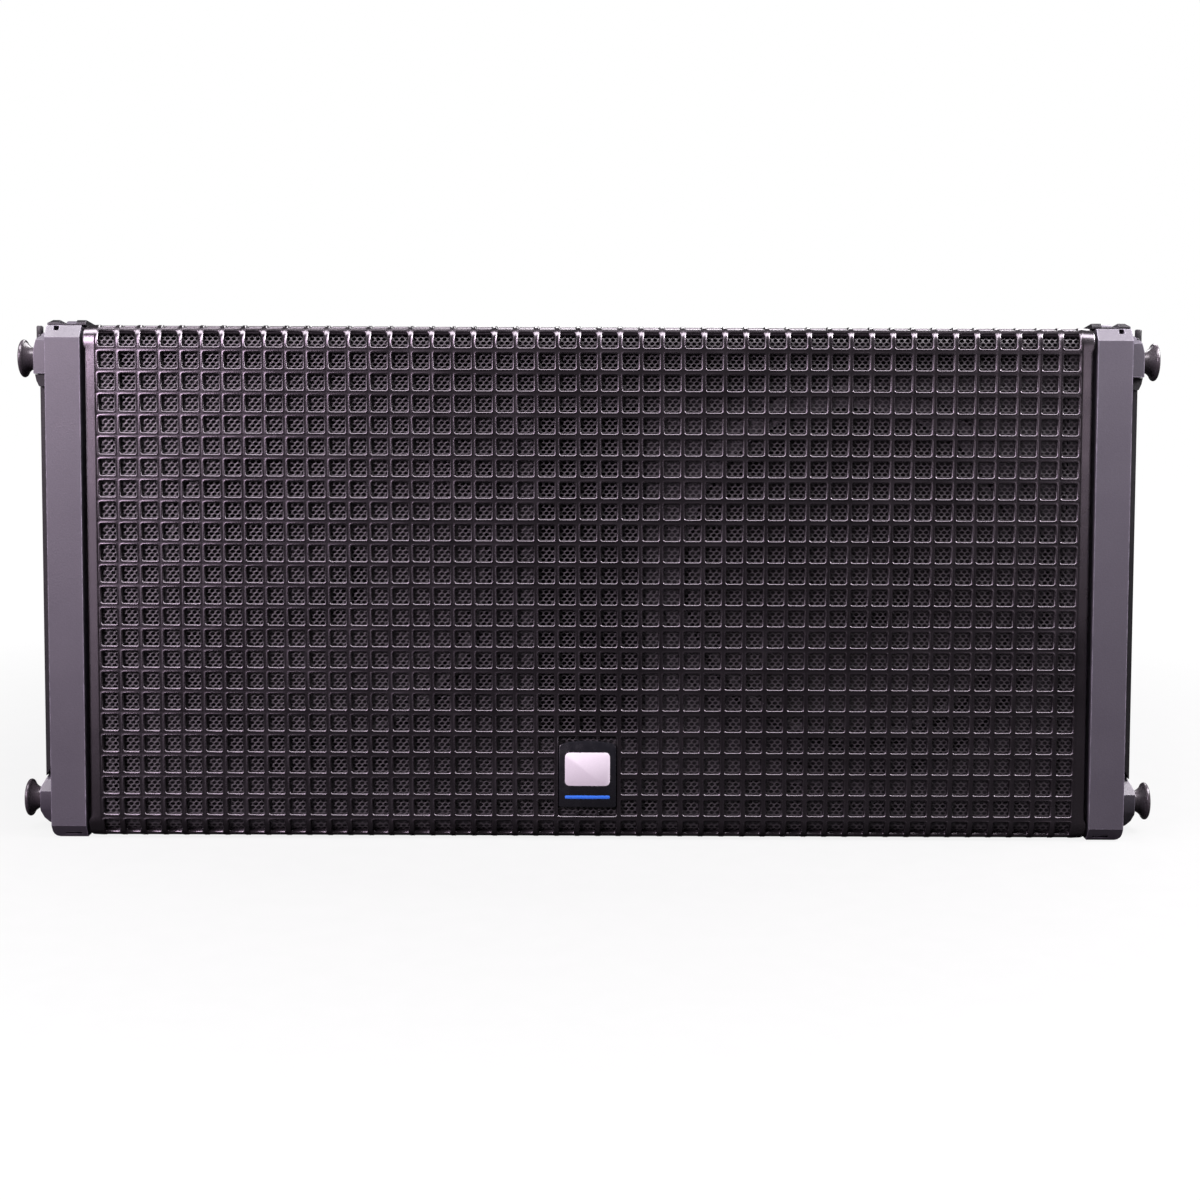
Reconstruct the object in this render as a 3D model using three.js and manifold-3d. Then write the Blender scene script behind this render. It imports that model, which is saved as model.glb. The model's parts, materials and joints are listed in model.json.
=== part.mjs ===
// A compact passive line array cabinet: a wedge-shaped box with two angled woofers, a central
// waveguide, a moulded square-cell grille and cast side frames that carry the rigging.
// Millimetres, +Z up, the grille faces -Y. The parts are laid out in the cabinet's own frame,
// where y = 0 is the front plane and z = 0 the middle of the front, and the whole cabinet is
// then turned by the wedge angle, so that its lower side rests flat.
import * as THREE from 'three';
import { mergeVertices } from 'three/addons/utils/BufferGeometryUtils.js';
import Module from 'manifold-3d';

const wasm = await Module();
wasm.setup();

// ---------------------------------------------------------------- driving dimensions
const GAP = 0.3;
const WEDGE = THREE.MathUtils.degToRad(4);
const HALF_HEIGHT = 155;
const SHELL_FRONT = 24.3;
const SHELL_REAR = 425;
const SHELL_HALF_WIDTH = 303.4;
const SHELL_INSET = 1;
const WALL = 12;

const FRAME_INNER = 304;
const FRAME_OUTER = 325;
const FRAME_PLATE = 6;
const FRAME_REAR = 418;
const RAIL_DEPTH = 46;
const RAIL_CHAMFER = { height: 7.8, depth: 5.5 };
const RAIL_CORNER = 4;
const GUIDE_HEIGHT = 3.6;

const PANEL_OUTER = 334;
const PANEL_WALL = 4;
const PANEL_REAR = 415;
const CUP = { y0: 240, y1: 360, halfHeight: 34, wall: 3.5, floor: 292, lip: 5 };

const GRILLE_HALF_WIDTH = 301.2;
const GRILLE_TOP = 155.4;
const GRILLE_BOTTOM = -154.2;
const GRILLE_ROLL = 10;
const GRILLE_THICK = 4;
const MESH = { halfWidth: 299, halfHeight: 144.5, front: 4.6, back: 6.4 };
const GRILLE_CELLS = { columns: 12, rows: 6, bar: 5, halfWidth: 293.8, halfHeight: 140 };
const BADGE = { halfWidth: 17.3, low: -134.6, high: -94.2, front: -1.2, back: 2.2, margin: 2.2 };

const LINK = { x: 312.3, y: 28, thick: 8, width: 27, low: 82, high: 158.4 };
const CHANNEL = { halfX: 5, halfY: 15.5, topFloor: 76, bottomRoof: -98 };
const PIN_TOP = 136.1;
const PIN_BOTTOM = -134.4;
const LINK_TRAVEL = 2 * HALF_HEIGHT + PIN_BOTTOM - PIN_TOP;
const PIN = { radius: 5, tip: 305, stem: 4, clear: 0.4, collar: 8, collarX: 318.6, end: 343 };
const POCKET = { radius: 9, from: 318.3, to: 334.2 };
const BOSS_OUTER = 336.3;
const BOSS_FRONT = 16;
const KNOB = { rim: 11.5, neck: 6.4, bore: 4.3, length: 10.6 };

const VEE = THREE.MathUtils.degToRad(20);
const VEE_INNER = 44;
const VEE_OUTER = { x: 290.6, y: 36 };
const BAFFLE_THICK = 15;
const WOOFER_HOLE = 113;

const HINGE = { y: 447, z: 92, bore: 5.4 };
const REAR_ARM = { halfThick: 5, halfWidth: 15, length: 130 };
const REAR_PIN = { z: -92, tip: -11, collarX: 13.6, pocketTo: 35.4, boss: 38, end: 44.7 };
const EAR = { inner: 6, outer: 11, front: 429, rear: 463 };

// ---------------------------------------------------------------- materials
function finish(color, roughness, metalness) {
  return new THREE.MeshStandardMaterial({ color, roughness, metalness });
}
const castGrey = () => finish(0x6f6878, 0.45, 0.3);
const grilleGrey = () => finish(0x5d5560, 0.5, 0.2);
const blackPlastic = () => finish(0x17161a, 0.6, 0);
const steel = () => finish(0x8d8f94, 0.35, 0.9);
const blackSteel = () => finish(0x202024, 0.45, 0.6);
const plywood = () => finish(0x2a2828, 0.75, 0);
const paperCone = () => finish(0x1d1d1f, 0.9, 0);
const rubber = () => finish(0x141414, 0.8, 0);
const ferrite = () => finish(0x3a3a3d, 0.6, 0.4);

// ---------------------------------------------------------------- solid helpers
function signedVolume(position, index) {
  const a = new THREE.Vector3();
  const b = new THREE.Vector3();
  const c = new THREE.Vector3();
  let volume = 0;
  for (let i = 0; i < index.length; i += 3) {
    a.fromBufferAttribute(position, index[i]);
    b.fromBufferAttribute(position, index[i + 1]);
    c.fromBufferAttribute(position, index[i + 2]);
    volume += a.dot(b.cross(c)) / 6;
  }
  return volume;
}

// Merges shared corners, drops the empty triangles at a lathe's poles and faces the rest outward.
function closed(geometry) {
  const bare = geometry.clone();
  bare.deleteAttribute('normal');
  bare.deleteAttribute('uv');
  const merged = mergeVertices(bare, 1e-3);
  const source = merged.index.array;
  const kept = [];
  for (let i = 0; i < source.length; i += 3) {
    const [a, b, c] = [source[i], source[i + 1], source[i + 2]];
    if (a !== b && b !== c && c !== a) kept.push(a, b, c);
  }
  if (signedVolume(merged.attributes.position, kept) < 0) kept.reverse();
  merged.setIndex(kept);
  return merged;
}

function toSolid(geometry) {
  const shape = closed(geometry);
  const vertProperties = Float32Array.from(shape.attributes.position.array);
  const triVerts = Uint32Array.from(shape.index.array);
  return new wasm.Manifold(new wasm.Mesh({ numProp: 3, vertProperties, triVerts }));
}

function toGeometry(solid) {
  const mesh = solid.getMesh();
  const geometry = new THREE.BufferGeometry();
  geometry.setAttribute('position', new THREE.BufferAttribute(mesh.vertProperties, 3));
  geometry.setIndex(new THREE.BufferAttribute(mesh.triVerts, 1));
  return geometry;
}

function join(...geometries) {
  return toGeometry(geometries.map(toSolid).reduce((sum, next) => sum.add(next)));
}

function cut(geometry, ...tools) {
  return toGeometry(tools.map(toSolid).reduce((rest, tool) => rest.subtract(tool), toSolid(geometry)));
}

function common(a, b) {
  return toGeometry(toSolid(a).intersect(toSolid(b)));
}

function mirrored(geometry) {
  return closed(geometry.clone().applyMatrix4(new THREE.Matrix4().makeScale(-1, 1, 1)));
}

// ---------------------------------------------------------------- shape helpers
const X_AXIS = new THREE.Vector3(1, 0, 0);
const Y_AXIS = new THREE.Vector3(0, 1, 0);
const Z_AXIS = new THREE.Vector3(0, 0, 1);
const ALONG_X = new THREE.Matrix4().makeBasis(Y_AXIS, Z_AXIS, X_AXIS);
const ALONG_Y = new THREE.Matrix4().makeBasis(X_AXIS, Z_AXIS, Y_AXIS.clone().negate());

function outline(points) {
  return new THREE.Shape(points.map(([u, v]) => new THREE.Vector2(u, v)));
}

function extrude(shape, depth, curveSegments = 8) {
  return new THREE.ExtrudeGeometry(shape, { depth, bevelEnabled: false, curveSegments });
}

// Points are [y, z]; the solid runs from x0 to x1.
function prismX(points, x0, x1) {
  return extrude(outline(points), x1 - x0).applyMatrix4(ALONG_X).translate(x0, 0, 0);
}

// Points are [x, z]; the solid runs from y0 to y1.
function prismY(points, y0, y1) {
  return extrude(outline(points), y1 - y0).applyMatrix4(ALONG_Y).translate(0, y1, 0);
}

// Points are [x, y]; the solid runs from z0 to z1.
function prismZ(points, z0, z1) {
  return extrude(outline(points), z1 - z0).translate(0, 0, z0);
}

function box([x0, x1], [y0, y1], [z0, z1]) {
  const geometry = new THREE.BoxGeometry(x1 - x0, y1 - y0, z1 - z0);
  return geometry.translate((x0 + x1) / 2, (y0 + y1) / 2, (z0 + z1) / 2);
}

// A turned piece: points are [radius, height] and the height runs along local +Y.
function turned(points, segments = 14) {
  return new THREE.LatheGeometry(points.map(([r, h]) => new THREE.Vector2(r, h)), segments);
}

const alongX = (geometry) => geometry.rotateZ(-Math.PI / 2);
const alongZ = (geometry) => geometry.rotateX(Math.PI / 2);

function rodX(radius, x0, x1, y, z, segments = 12) {
  const rod = alongX(new THREE.CylinderGeometry(radius, radius, x1 - x0, segments));
  return rod.translate((x0 + x1) / 2, y, z);
}

function rodY(radius, y0, y1, x, z, segments = 14) {
  const rod = new THREE.CylinderGeometry(radius, radius, y1 - y0, segments);
  return rod.translate(x, (y0 + y1) / 2, z);
}

// A coil spring along X, its ends closed.
function springX(coilRadius, wireRadius, turns, x0, x1, y, z) {
  const points = [];
  const steps = turns * 7;
  for (let i = 0; i <= steps; i += 1) {
    const angle = (i / steps) * turns * 2 * Math.PI;
    const along = x0 + wireRadius + (i / steps) * (x1 - x0 - 2 * wireRadius);
    const side = coilRadius * Math.cos(angle);
    points.push(new THREE.Vector3(along, y + side, z + coilRadius * Math.sin(angle)));
  }
  const section = new THREE.Shape().absarc(0, 0, wireRadius, 0, 2 * Math.PI);
  const extrudePath = new THREE.CatmullRomCurve3(points);
  return new THREE.ExtrudeGeometry(section, { steps, curveSegments: 2, extrudePath });
}

// Height of the wedge's upper face above the middle plane, a set distance inside it.
function topAt(y, inset = 0) {
  return HALF_HEIGHT - inset - y * Math.tan(WEDGE);
}

function wedge(y0, y1, inset) {
  const [z0, z1] = [topAt(y0, inset), topAt(y1, inset)];
  return [[y0, -z0], [y1, -z1], [y1, z1], [y0, z0]];
}

// ---------------------------------------------------------------- the group
const cabinet = new THREE.Group();

function part(name, geometry, material, parent = cabinet) {
  const mesh = new THREE.Mesh(closed(geometry), material);
  mesh.name = name;
  parent.add(mesh);
  return mesh;
}

// The right-hand piece is modelled; the left-hand one is its mirror image.
function pair(name, geometry, material) {
  part(`${name}_right`, geometry, material());
  part(`${name}_left`, mirrored(geometry), material());
}

// ---------------------------------------------------------------- shell and baffle
function cabinetShell() {
  const side = [-SHELL_HALF_WIDTH, SHELL_HALF_WIDTH];
  const inside = [side[0] + WALL, side[1] - WALL];
  const outer = prismX(wedge(SHELL_FRONT, SHELL_REAR, SHELL_INSET), ...side);
  const hollow = prismX(wedge(0, SHELL_REAR - WALL, SHELL_INSET + WALL), ...inside);
  const clear = CUP.wall + GAP;
  const cupHeight = [-CUP.halfHeight - clear, CUP.halfHeight + clear];
  const cupWindows = box([-400, 400], [CUP.y0 - clear, CUP.y1 + clear], cupHeight);
  const inputWindow = box([100, 220], [400, 440], [-88, -34]);
  return cut(outer, hollow, cupWindows, inputWindow);
}

function frontBaffle() {
  const run = VEE_OUTER.x - VEE_INNER;
  const innerY = VEE_OUTER.y + run * Math.tan(VEE);
  const right = [[VEE_INNER, innerY], [VEE_OUTER.x, VEE_OUTER.y]];
  const front = [[-VEE_OUTER.x, VEE_OUTER.y], [-VEE_INNER, innerY], ...right];
  const back = front.map(([x, y]) => [x, y + BAFFLE_THICK]).reverse();
  const board = prismZ([...front, ...back], -150, 150);
  const fitted = common(board, prismX(wedge(0, 200, SHELL_INSET + WALL + GAP), -300, 300));
  const mouth = box([-38, 38], [100, 180], [-112, 112]);
  const holes = [-1, 1].map((side) => {
    const hole = alongZ(new THREE.CylinderGeometry(WOOFER_HOLE, WOOFER_HOLE, 80, 24));
    return hole.applyMatrix4(wooferPlace(side));
  });
  return cut(fitted, mouth, ...holes);
}

// Local +Z faces the listener, and the origin is the middle of the baffle's front face.
function wooferPlace(side) {
  const x = (VEE_OUTER.x + VEE_INNER) / 2;
  const y = VEE_OUTER.y + (VEE_OUTER.x - x) * Math.tan(VEE);
  const forward = new THREE.Vector3(-side * Math.sin(VEE), -Math.cos(VEE), 0);
  const across = new THREE.Vector3().crossVectors(Z_AXIS, forward);
  const place = new THREE.Matrix4().makeBasis(across, Z_AXIS, forward);
  return place.setPosition(side * x, y, 0);
}

// ---------------------------------------------------------------- grille, mesh and badge
function frontGrille() {
  const middle = (sign) => (sign > 0 ? GRILLE_TOP : GRILLE_BOTTOM) - sign * GRILLE_ROLL;
  const rollAt = (radius, sign) => {
    const points = [];
    for (let i = 0; i <= 6; i += 1) {
      const angle = (i / 6) * (Math.PI / 2);
      const y = GRILLE_ROLL - radius * Math.sin(angle);
      points.push([y, middle(sign) + sign * radius * Math.cos(angle)]);
    }
    return points;
  };
  const lip = (radius, sign) => {
    const drop = (SHELL_FRONT - GAP - GRILLE_ROLL) * Math.tan(WEDGE);
    return [SHELL_FRONT - GAP, middle(sign) + sign * (radius - drop)];
  };
  const inner = GRILLE_ROLL - GRILLE_THICK;
  const upperOuter = [lip(GRILLE_ROLL, 1), ...rollAt(GRILLE_ROLL, 1)];
  const lowerOuter = [...rollAt(GRILLE_ROLL, -1).reverse(), lip(GRILLE_ROLL, -1)];
  const lowerInner = [lip(inner, -1), ...rollAt(inner, -1)];
  const upperInner = [...rollAt(inner, 1).reverse(), lip(inner, 1)];
  const section = [...upperOuter, ...lowerOuter, ...lowerInner, ...upperInner];
  const plate = prismX(section, -GRILLE_HALF_WIDTH, GRILLE_HALF_WIDTH);
  const { columns, rows, bar, halfWidth, halfHeight } = GRILLE_CELLS;
  const pitchX = (2 * halfWidth + bar) / columns;
  const pitchZ = (2 * halfHeight + bar) / rows;
  const cells = [];
  for (let column = 0; column < columns; column += 1) {
    for (let row = 0; row < rows; row += 1) {
      const x = -halfWidth + column * pitchX;
      const z = -halfHeight + row * pitchZ;
      cells.push(box([x, x + pitchX - bar], [-5, GRILLE_THICK + 1], [z, z + pitchZ - bar]));
    }
  }
  const rim = bar / 2;
  const frameX = [-BADGE.halfWidth - BADGE.margin - rim, BADGE.halfWidth + BADGE.margin + rim];
  const frameZ = [BADGE.low - BADGE.margin - rim, BADGE.high + BADGE.margin + rim];
  const surround = box(frameX, [0.5, GRILLE_THICK - 0.5], frameZ);
  const windowX = [frameX[0] + rim, frameX[1] - rim];
  const window = box(windowX, [-5, GRILLE_THICK + 1], [frameZ[0] + rim, frameZ[1] - rim]);
  return cut(join(cut(plate, ...cells), surround), window);
}

function grilleMesh() {
  const { halfWidth, halfHeight, front, back } = MESH;
  return box([-halfWidth, halfWidth], [front, back], [-halfHeight, halfHeight]);
}

function badgePlate() {
  const { halfWidth, low, high, front, back } = BADGE;
  const shape = new THREE.Shape();
  const shoulder = high - halfWidth * 0.45;
  shape.moveTo(-halfWidth, low);
  shape.lineTo(halfWidth, low);
  shape.lineTo(halfWidth, shoulder);
  shape.quadraticCurveTo(halfWidth * 0.85, high, 0, high);
  shape.quadraticCurveTo(-halfWidth * 0.85, high, -halfWidth, shoulder);
  const plate = extrude(shape, back - front, 5).applyMatrix4(ALONG_Y).translate(0, back, 0);
  const middle = (low + high) / 2;
  return join(plate, box([-4, 4], [back - 1, 4.3], [middle - 4, middle + 4]));
}

// ---------------------------------------------------------------- side frame and rigging
function railOutline() {
  const { height, depth } = RAIL_CHAMFER;
  const [front, rear] = [topAt(depth), topAt(RAIL_DEPTH)];
  const corner = HALF_HEIGHT - height;
  const lower = [[0, -corner], [depth, -front], [RAIL_DEPTH, -rear]];
  return [...lower, [RAIL_DEPTH, rear], [depth, front], [0, corner]];
}

// What is cut away to round the rail's lower outer edge, following the wedge's slope.
function railCorner() {
  const [x, z] = [FRAME_OUTER - RAIL_CORNER, RAIL_CORNER - HALF_HEIGHT];
  const points = [];
  for (let i = 0; i <= 3; i += 1) {
    const angle = (i / 3) * (Math.PI / 2);
    points.push([x + RAIL_CORNER * Math.sin(angle), z - RAIL_CORNER * Math.cos(angle)]);
  }
  points.push([FRAME_OUTER + 1, z], [FRAME_OUTER + 1, -HALF_HEIGHT - 1], [x, -HALF_HEIGHT - 1]);
  const slope = new THREE.Matrix4().set(1, 0, 0, 0, 0, 1, 0, 0, 0, Math.tan(WEDGE), 1, 0, 0, 0, 0, 1);
  return prismY(points, -1, RAIL_DEPTH + 1).applyMatrix4(slope);
}

function pinBores(z) {
  const pin = rodX(PIN.radius + PIN.clear, 300, POCKET.from + 1, LINK.y, z);
  const pocket = rodX(POCKET.radius, POCKET.from, POCKET.to, LINK.y, z);
  const stem = rodX(PIN.stem + PIN.clear, POCKET.to - 1, 345, LINK.y, z);
  return [pin, pocket, stem];
}

function sideFrame() {
  const rail = cut(prismX(railOutline(), FRAME_INNER, FRAME_OUTER), railCorner());
  const plate = prismX(wedge(RAIL_DEPTH - 4, FRAME_REAR, 0), FRAME_INNER, FRAME_INNER + FRAME_PLATE);
  const upperBoss = [
    [320, 126.4], [BOSS_OUTER, 126.4], [BOSS_OUTER, 141], [334.6, 147.4], [331, 151.4],
    [320, 151.4],
  ];
  const lowerBoss = [
    [320, -113], [331.6, -115.6], [BOSS_OUTER, -126.1], [BOSS_OUTER, -141], [334.6, -145.4],
    [331.7, -148.4], [328.1, -149.7], [326.6, -151.4], [320, -151.4],
  ];
  const bosses = [upperBoss, lowerBoss].map((points) => prismY(points, BOSS_FRONT, RAIL_DEPTH));
  const facets = [
    [[BOSS_FRONT - 1, 145.6], [BOSS_FRONT + 7, 153.6], [BOSS_FRONT - 1, 153.6]],
    [[BOSS_FRONT - 1, -129.8], [BOSS_FRONT + 12, -116.8], [BOSS_FRONT + 12, -112], [BOSS_FRONT - 1, -112]],
    [[BOSS_FRONT - 1, -137], [BOSS_FRONT + 6, -152.4], [BOSS_FRONT - 1, -152.4]],
  ].map((points) => prismX(points, FRAME_OUTER, BOSS_OUTER + 1));
  const channelX = [LINK.x - CHANNEL.halfX, LINK.x + CHANNEL.halfX];
  const channelY = [LINK.y - CHANNEL.halfY, LINK.y + CHANNEL.halfY];
  const upper = box(channelX, channelY, [CHANNEL.topFloor, 170]);
  const lower = box(channelX, channelY, [-170, CHANNEL.bottomRoof]);
  const slit = box(channelX, [-1, LINK.y], [-152.7, -151.6]);
  const notch = box([317.2, 320.4], [-1, 10], [151.5, 154.4]);
  const clear = CUP.wall + GAP;
  const cupHeight = [-CUP.halfHeight - clear, CUP.halfHeight + clear];
  const cupWindow = box([300, 320], [CUP.y0 - clear, CUP.y1 + clear], cupHeight);
  const bores = [...pinBores(PIN_TOP), ...pinBores(PIN_BOTTOM)];
  const body = cut(join(rail, plate, ...bosses), ...facets);
  return cut(body, upper, lower, slit, notch, cupWindow, ...bores);
}

function sidePanel() {
  const start = RAIL_DEPTH + GAP;
  const inner = FRAME_INNER + FRAME_PLATE + GAP;
  const body = prismX(wedge(start, PANEL_REAR, 2), inner, PANEL_OUTER);
  const edge = FRAME_OUTER + GAP;
  const strip = [[edge, 119.6], [edge, -113.8], [331.5, -115.2], [PANEL_OUTER, -119.9], [PANEL_OUTER, 119.6]];
  const tongue = prismY(strip, 22, start + 4);
  const slope = [[326, 118.8], [333.6, 118.8], [335.2, 122.2], [336, 126], [326, 126]];
  const shoulder = prismY(slope, 18, start + 4);
  const wallIn = PANEL_WALL;
  const hollowWedge = wedge(start + wallIn, PANEL_REAR - wallIn, 2 + wallIn);
  const hollow = prismX(hollowWedge, inner - 5, PANEL_OUTER - wallIn);
  const clear = CUP.wall + GAP;
  const cupHeight = [-CUP.halfHeight - clear, CUP.halfHeight + clear];
  const cupWindow = box([300, 345], [CUP.y0 - clear, CUP.y1 + clear], cupHeight);
  return cut(join(body, tongue, shoulder), hollow, cupWindow);
}

function handleCup() {
  const { y0, y1, halfHeight, wall, floor, lip } = CUP;
  const grow = (by) => [[y0 - by, y1 + by], [-halfHeight - by, halfHeight + by]];
  const tub = box([floor, PANEL_OUTER + 1], ...grow(wall));
  const rim = box([PANEL_OUTER + GAP, PANEL_OUTER + 2], ...grow(wall + lip));
  return cut(join(tub, rim), box([floor + wall, 350], ...grow(0)));
}

function armGuide() {
  const rest = (y, height) => [y, topAt(y) + height];
  const [front, rear] = [RAIL_CHAMFER.depth + 0.5, RAIL_DEPTH - 0.5];
  const face = [rest(rear, GUIDE_HEIGHT), rest(front + 2.5, GUIDE_HEIGHT), rest(front, GUIDE_HEIGHT - 2)];
  const section = [rest(front, GAP), rest(rear, GAP), ...face];
  const block = prismX(section, 301.6, FRAME_OUTER - 0.4);
  const channelX = [LINK.x - CHANNEL.halfX, LINK.x + CHANNEL.halfX];
  const sill = [rest(front - 1, 1.1), rest(LINK.y, 1.1), rest(LINK.y, 10), rest(front - 1, 10)];
  const top = HALF_HEIGHT + GUIDE_HEIGHT;
  const end = [[FRAME_OUTER - 3.4, top + 0.1], [FRAME_OUTER, top - 2.4], [FRAME_OUTER, top + 0.1]];
  const slope = new THREE.Matrix4().set(1, 0, 0, 0, 0, 1, 0, 0, 0, -Math.tan(WEDGE), 1, 0, 0, 0, 0, 1);
  const corner = prismY(end, -1, RAIL_DEPTH + 1).applyMatrix4(slope);
  const channel = box(channelX, [LINK.y - CHANNEL.halfY, LINK.y + CHANNEL.halfY], [140, 170]);
  return cut(block, channel, prismX(sill, ...channelX), corner);
}

function linkArm() {
  const half = LINK.width / 2;
  const shape = new THREE.Shape();
  shape.moveTo(LINK.y - half, LINK.low + 6);
  shape.lineTo(LINK.y - half + 6, LINK.low);
  shape.lineTo(LINK.y + half - 6, LINK.low);
  shape.lineTo(LINK.y + half, LINK.low + 6);
  shape.lineTo(LINK.y + half, LINK.high - 7);
  shape.quadraticCurveTo(LINK.y + half, LINK.high, LINK.y + half - 8, LINK.high);
  shape.lineTo(LINK.y - half + 8, LINK.high);
  shape.quadraticCurveTo(LINK.y - half, LINK.high, LINK.y - half, LINK.high - 7);
  const slot = new THREE.Path();
  const radius = PIN.radius + 0.5;
  slot.absarc(LINK.y, PIN_TOP, radius, 0, Math.PI);
  slot.absarc(LINK.y, PIN_TOP - LINK_TRAVEL, radius, Math.PI, 2 * Math.PI);
  shape.holes.push(slot);
  return extrude(shape, LINK.thick, 5).applyMatrix4(ALONG_X).translate(LINK.x - LINK.thick / 2, 0, 0);
}

// The plunger's collar is what the spring pushes on. Profile heights run along X.
function pinProfile(tip, collarX, end) {
  const { radius, stem, collar } = PIN;
  return [
    [0, tip], [radius - 1, tip], [radius, tip + 1], [radius, collarX], [collar, collarX],
    [collar, collarX + 1], [stem, collarX + 1], [stem, end], [0, end],
  ];
}

// A trumpet-shaped pull knob: a narrow neck that flares to a wide, gently domed head.
function knobProfile(start) {
  const { rim, neck, bore, length } = KNOB;
  const profile = [[bore, start]];
  for (let i = 0; i <= 4; i += 1) {
    const t = i / 4;
    profile.push([neck + (rim - neck) * t ** 2.2, start + (length - 2.6) * t]);
  }
  profile.push([rim, start + length - 1.5], [rim * 0.8, start + length - 0.5], [0, start + length]);
  profile.push([0, start + length - 3.5], [bore, start + length - 3.5], [bore, start]);
  return profile;
}

function rigging() {
  for (const [where, z] of [['top', PIN_TOP], ['bottom', PIN_BOTTOM]]) {
    const pin = alongX(turned(pinProfile(PIN.tip, PIN.collarX, PIN.end), 10)).translate(0, LINK.y, z);
    const knob = alongX(turned(knobProfile(BOSS_OUTER + 0.7), 12)).translate(0, LINK.y, z);
    const spring = springX(6.4, 0.8, 4, PIN.collarX + 1.2, POCKET.to - 0.2, LINK.y, z);
    pair(`lock_pin_${where}`, pin, steel);
    pair(`pin_knob_${where}`, knob, blackSteel);
    pair(`pin_spring_${where}`, spring, steel);
  }
  pair('link_arm', linkArm(), blackSteel);
  pair('arm_guide', armGuide(), blackPlastic);
}

// ---------------------------------------------------------------- woofers
const WOOFER = {
  basket: [
    [111.8, 0.3], [127, 0.3], [127, 4.5], [125, 6.3], [110.4, 6.3], [110.4, -2], [104, -18],
    [63, -78], [30, -78], [30, -82], [65.5, -82], [107, -20], [111.8, -4],
  ],
  magnet: [
    [12, -120], [66, -120], [70, -117], [70, -92], [62, -90], [62, -82.3], [28, -82.3], [28, -112],
    [24, -112], [24, -82.6], [12, -82.6],
  ],
  cone: [
    [28.2, -62], [45, -50], [70, -32], [98.2, -6.5], [98.2, -4.5], [70, -30.2], [45, -48], [28.2, -60.2],
  ],
  spider: [[28.6, -76], [60, -76], [60, -74.6], [28.6, -74.6]],
  voiceCoil: [[25.2, -102], [26.8, -102], [26.8, -58], [25.2, -58]],
};

// The surround is a half roll between the cone's edge and the basket's rim.
const ROLL = { middle: 104.3, radius: 5.7, thick: 1.4, height: 6.6, base: -1.5 };

function surroundRing() {
  const { middle, radius, thick, height, base } = ROLL;
  const roll = (inset) => {
    const points = [];
    for (let i = 0; i <= 4; i += 1) {
      const angle = Math.PI * (i / 4);
      points.push([middle - (radius - inset) * Math.cos(angle), base + (height - inset) * Math.sin(angle)]);
    }
    return points;
  };
  return [...roll(0), ...roll(thick).reverse()];
}

function dustCap() {
  const dome = (radius, height) => {
    const points = [];
    for (let i = 0; i <= 3; i += 1) {
      const angle = (i / 3) * 1.25;
      points.push([radius * Math.sin(angle), height * Math.cos(angle) - 64.5]);
    }
    return points;
  };
  return [...dome(36, 30), ...dome(34.6, 28.4).reverse()];
}

function woofer(side) {
  const name = side > 0 ? 'right' : 'left';
  const group = new THREE.Group();
  group.applyMatrix4(wooferPlace(side));
  cabinet.add(group);
  const loop = (points) => [...points, points[0]];
  const ring = (label, points, material, segments = 18) => {
    part(`${label}_${name}`, alongZ(turned(loop(points), segments)), material(), group);
  };
  ring('woofer_basket', WOOFER.basket, blackSteel);
  ring('woofer_magnet', WOOFER.magnet, ferrite);
  ring('woofer_cone', WOOFER.cone, paperCone);
  ring('woofer_surround', surroundRing(), rubber);
  ring('woofer_spider', WOOFER.spider, paperCone);
  ring('voice_coil', WOOFER.voiceCoil, steel, 16);
  part(`dust_cap_${name}`, alongZ(turned(dustCap(), 16)), paperCone(), group);
}

// ---------------------------------------------------------------- high-frequency section
const HORN = { front: 142, rear: 213, halfWidth: 42, halfHeight: 122, throatY: 205 };
const DRIVER = { z: 58, radius: 44, length: 52 };

function waveguide() {
  const flare = [];
  for (let i = 0; i <= 8; i += 1) {
    const t = i / 8;
    flare.push([9 + 29 * t ** 1.7, HORN.throatY - t * (HORN.throatY - HORN.front + 1)]);
  }
  const plan = [...flare, ...flare.map(([x, y]) => [-x, y]).reverse()];
  const { halfWidth, halfHeight, front, rear, throatY } = HORN;
  const body = box([-halfWidth, halfWidth], [front, rear], [-halfHeight, halfHeight]);
  const throat = (side) => rodY(12.7, throatY - 1, rear + 2, 0, side * DRIVER.z, 16);
  const throats = [-1, 1].map(throat);
  return cut(body, prismZ(plan, -112, 112), ...throats);
}

function compressionDriver(z) {
  const { radius, length } = DRIVER;
  const profile = [
    [12.5, 0], [34, 0], [34, 6], [radius - 2, 6], [radius, 8], [radius, length - 8], [radius - 8, length],
    [0, length], [0, 24], [12.5, 24], [12.5, 0],
  ];
  return turned(profile, 16).translate(0, HORN.rear + GAP, z);
}

// ---------------------------------------------------------------- crossover and lining
const BOARD = { x0: -190, x1: -20, y: 402, halfHeight: 60, thick: 2 };

function crossoverBoard() {
  const { x0, x1, y, halfHeight, thick } = BOARD;
  const board = box([x0, x1], [y, y + thick], [-halfHeight, halfHeight]);
  const posts = [];
  for (const x of [x0 + 8, x1 - 8]) {
    for (const z of [8 - halfHeight, halfHeight - 8]) {
      posts.push(rodY(4, y + 1, SHELL_REAR - WALL - GAP, x, z, 10));
    }
  }
  return join(board, ...posts);
}

function crossoverInductor() {
  const top = BOARD.y - GAP;
  const section = [[11, top - 24], [27, top - 24], [27, top], [11, top], [11, top - 24]];
  return turned(section).translate(-145, 0, 18);
}

function crossoverCapacitor() {
  return rodX(12, -95, -50, BOARD.y - 12 - GAP, -25, 16);
}

function liningPanel() {
  const under = (y, drop) => [y, topAt(y, SHELL_INSET + WALL) - drop];
  return prismX([under(235, 1), under(235, 21), under(398, 21), under(398, 1)], -270, 270);
}

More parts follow.
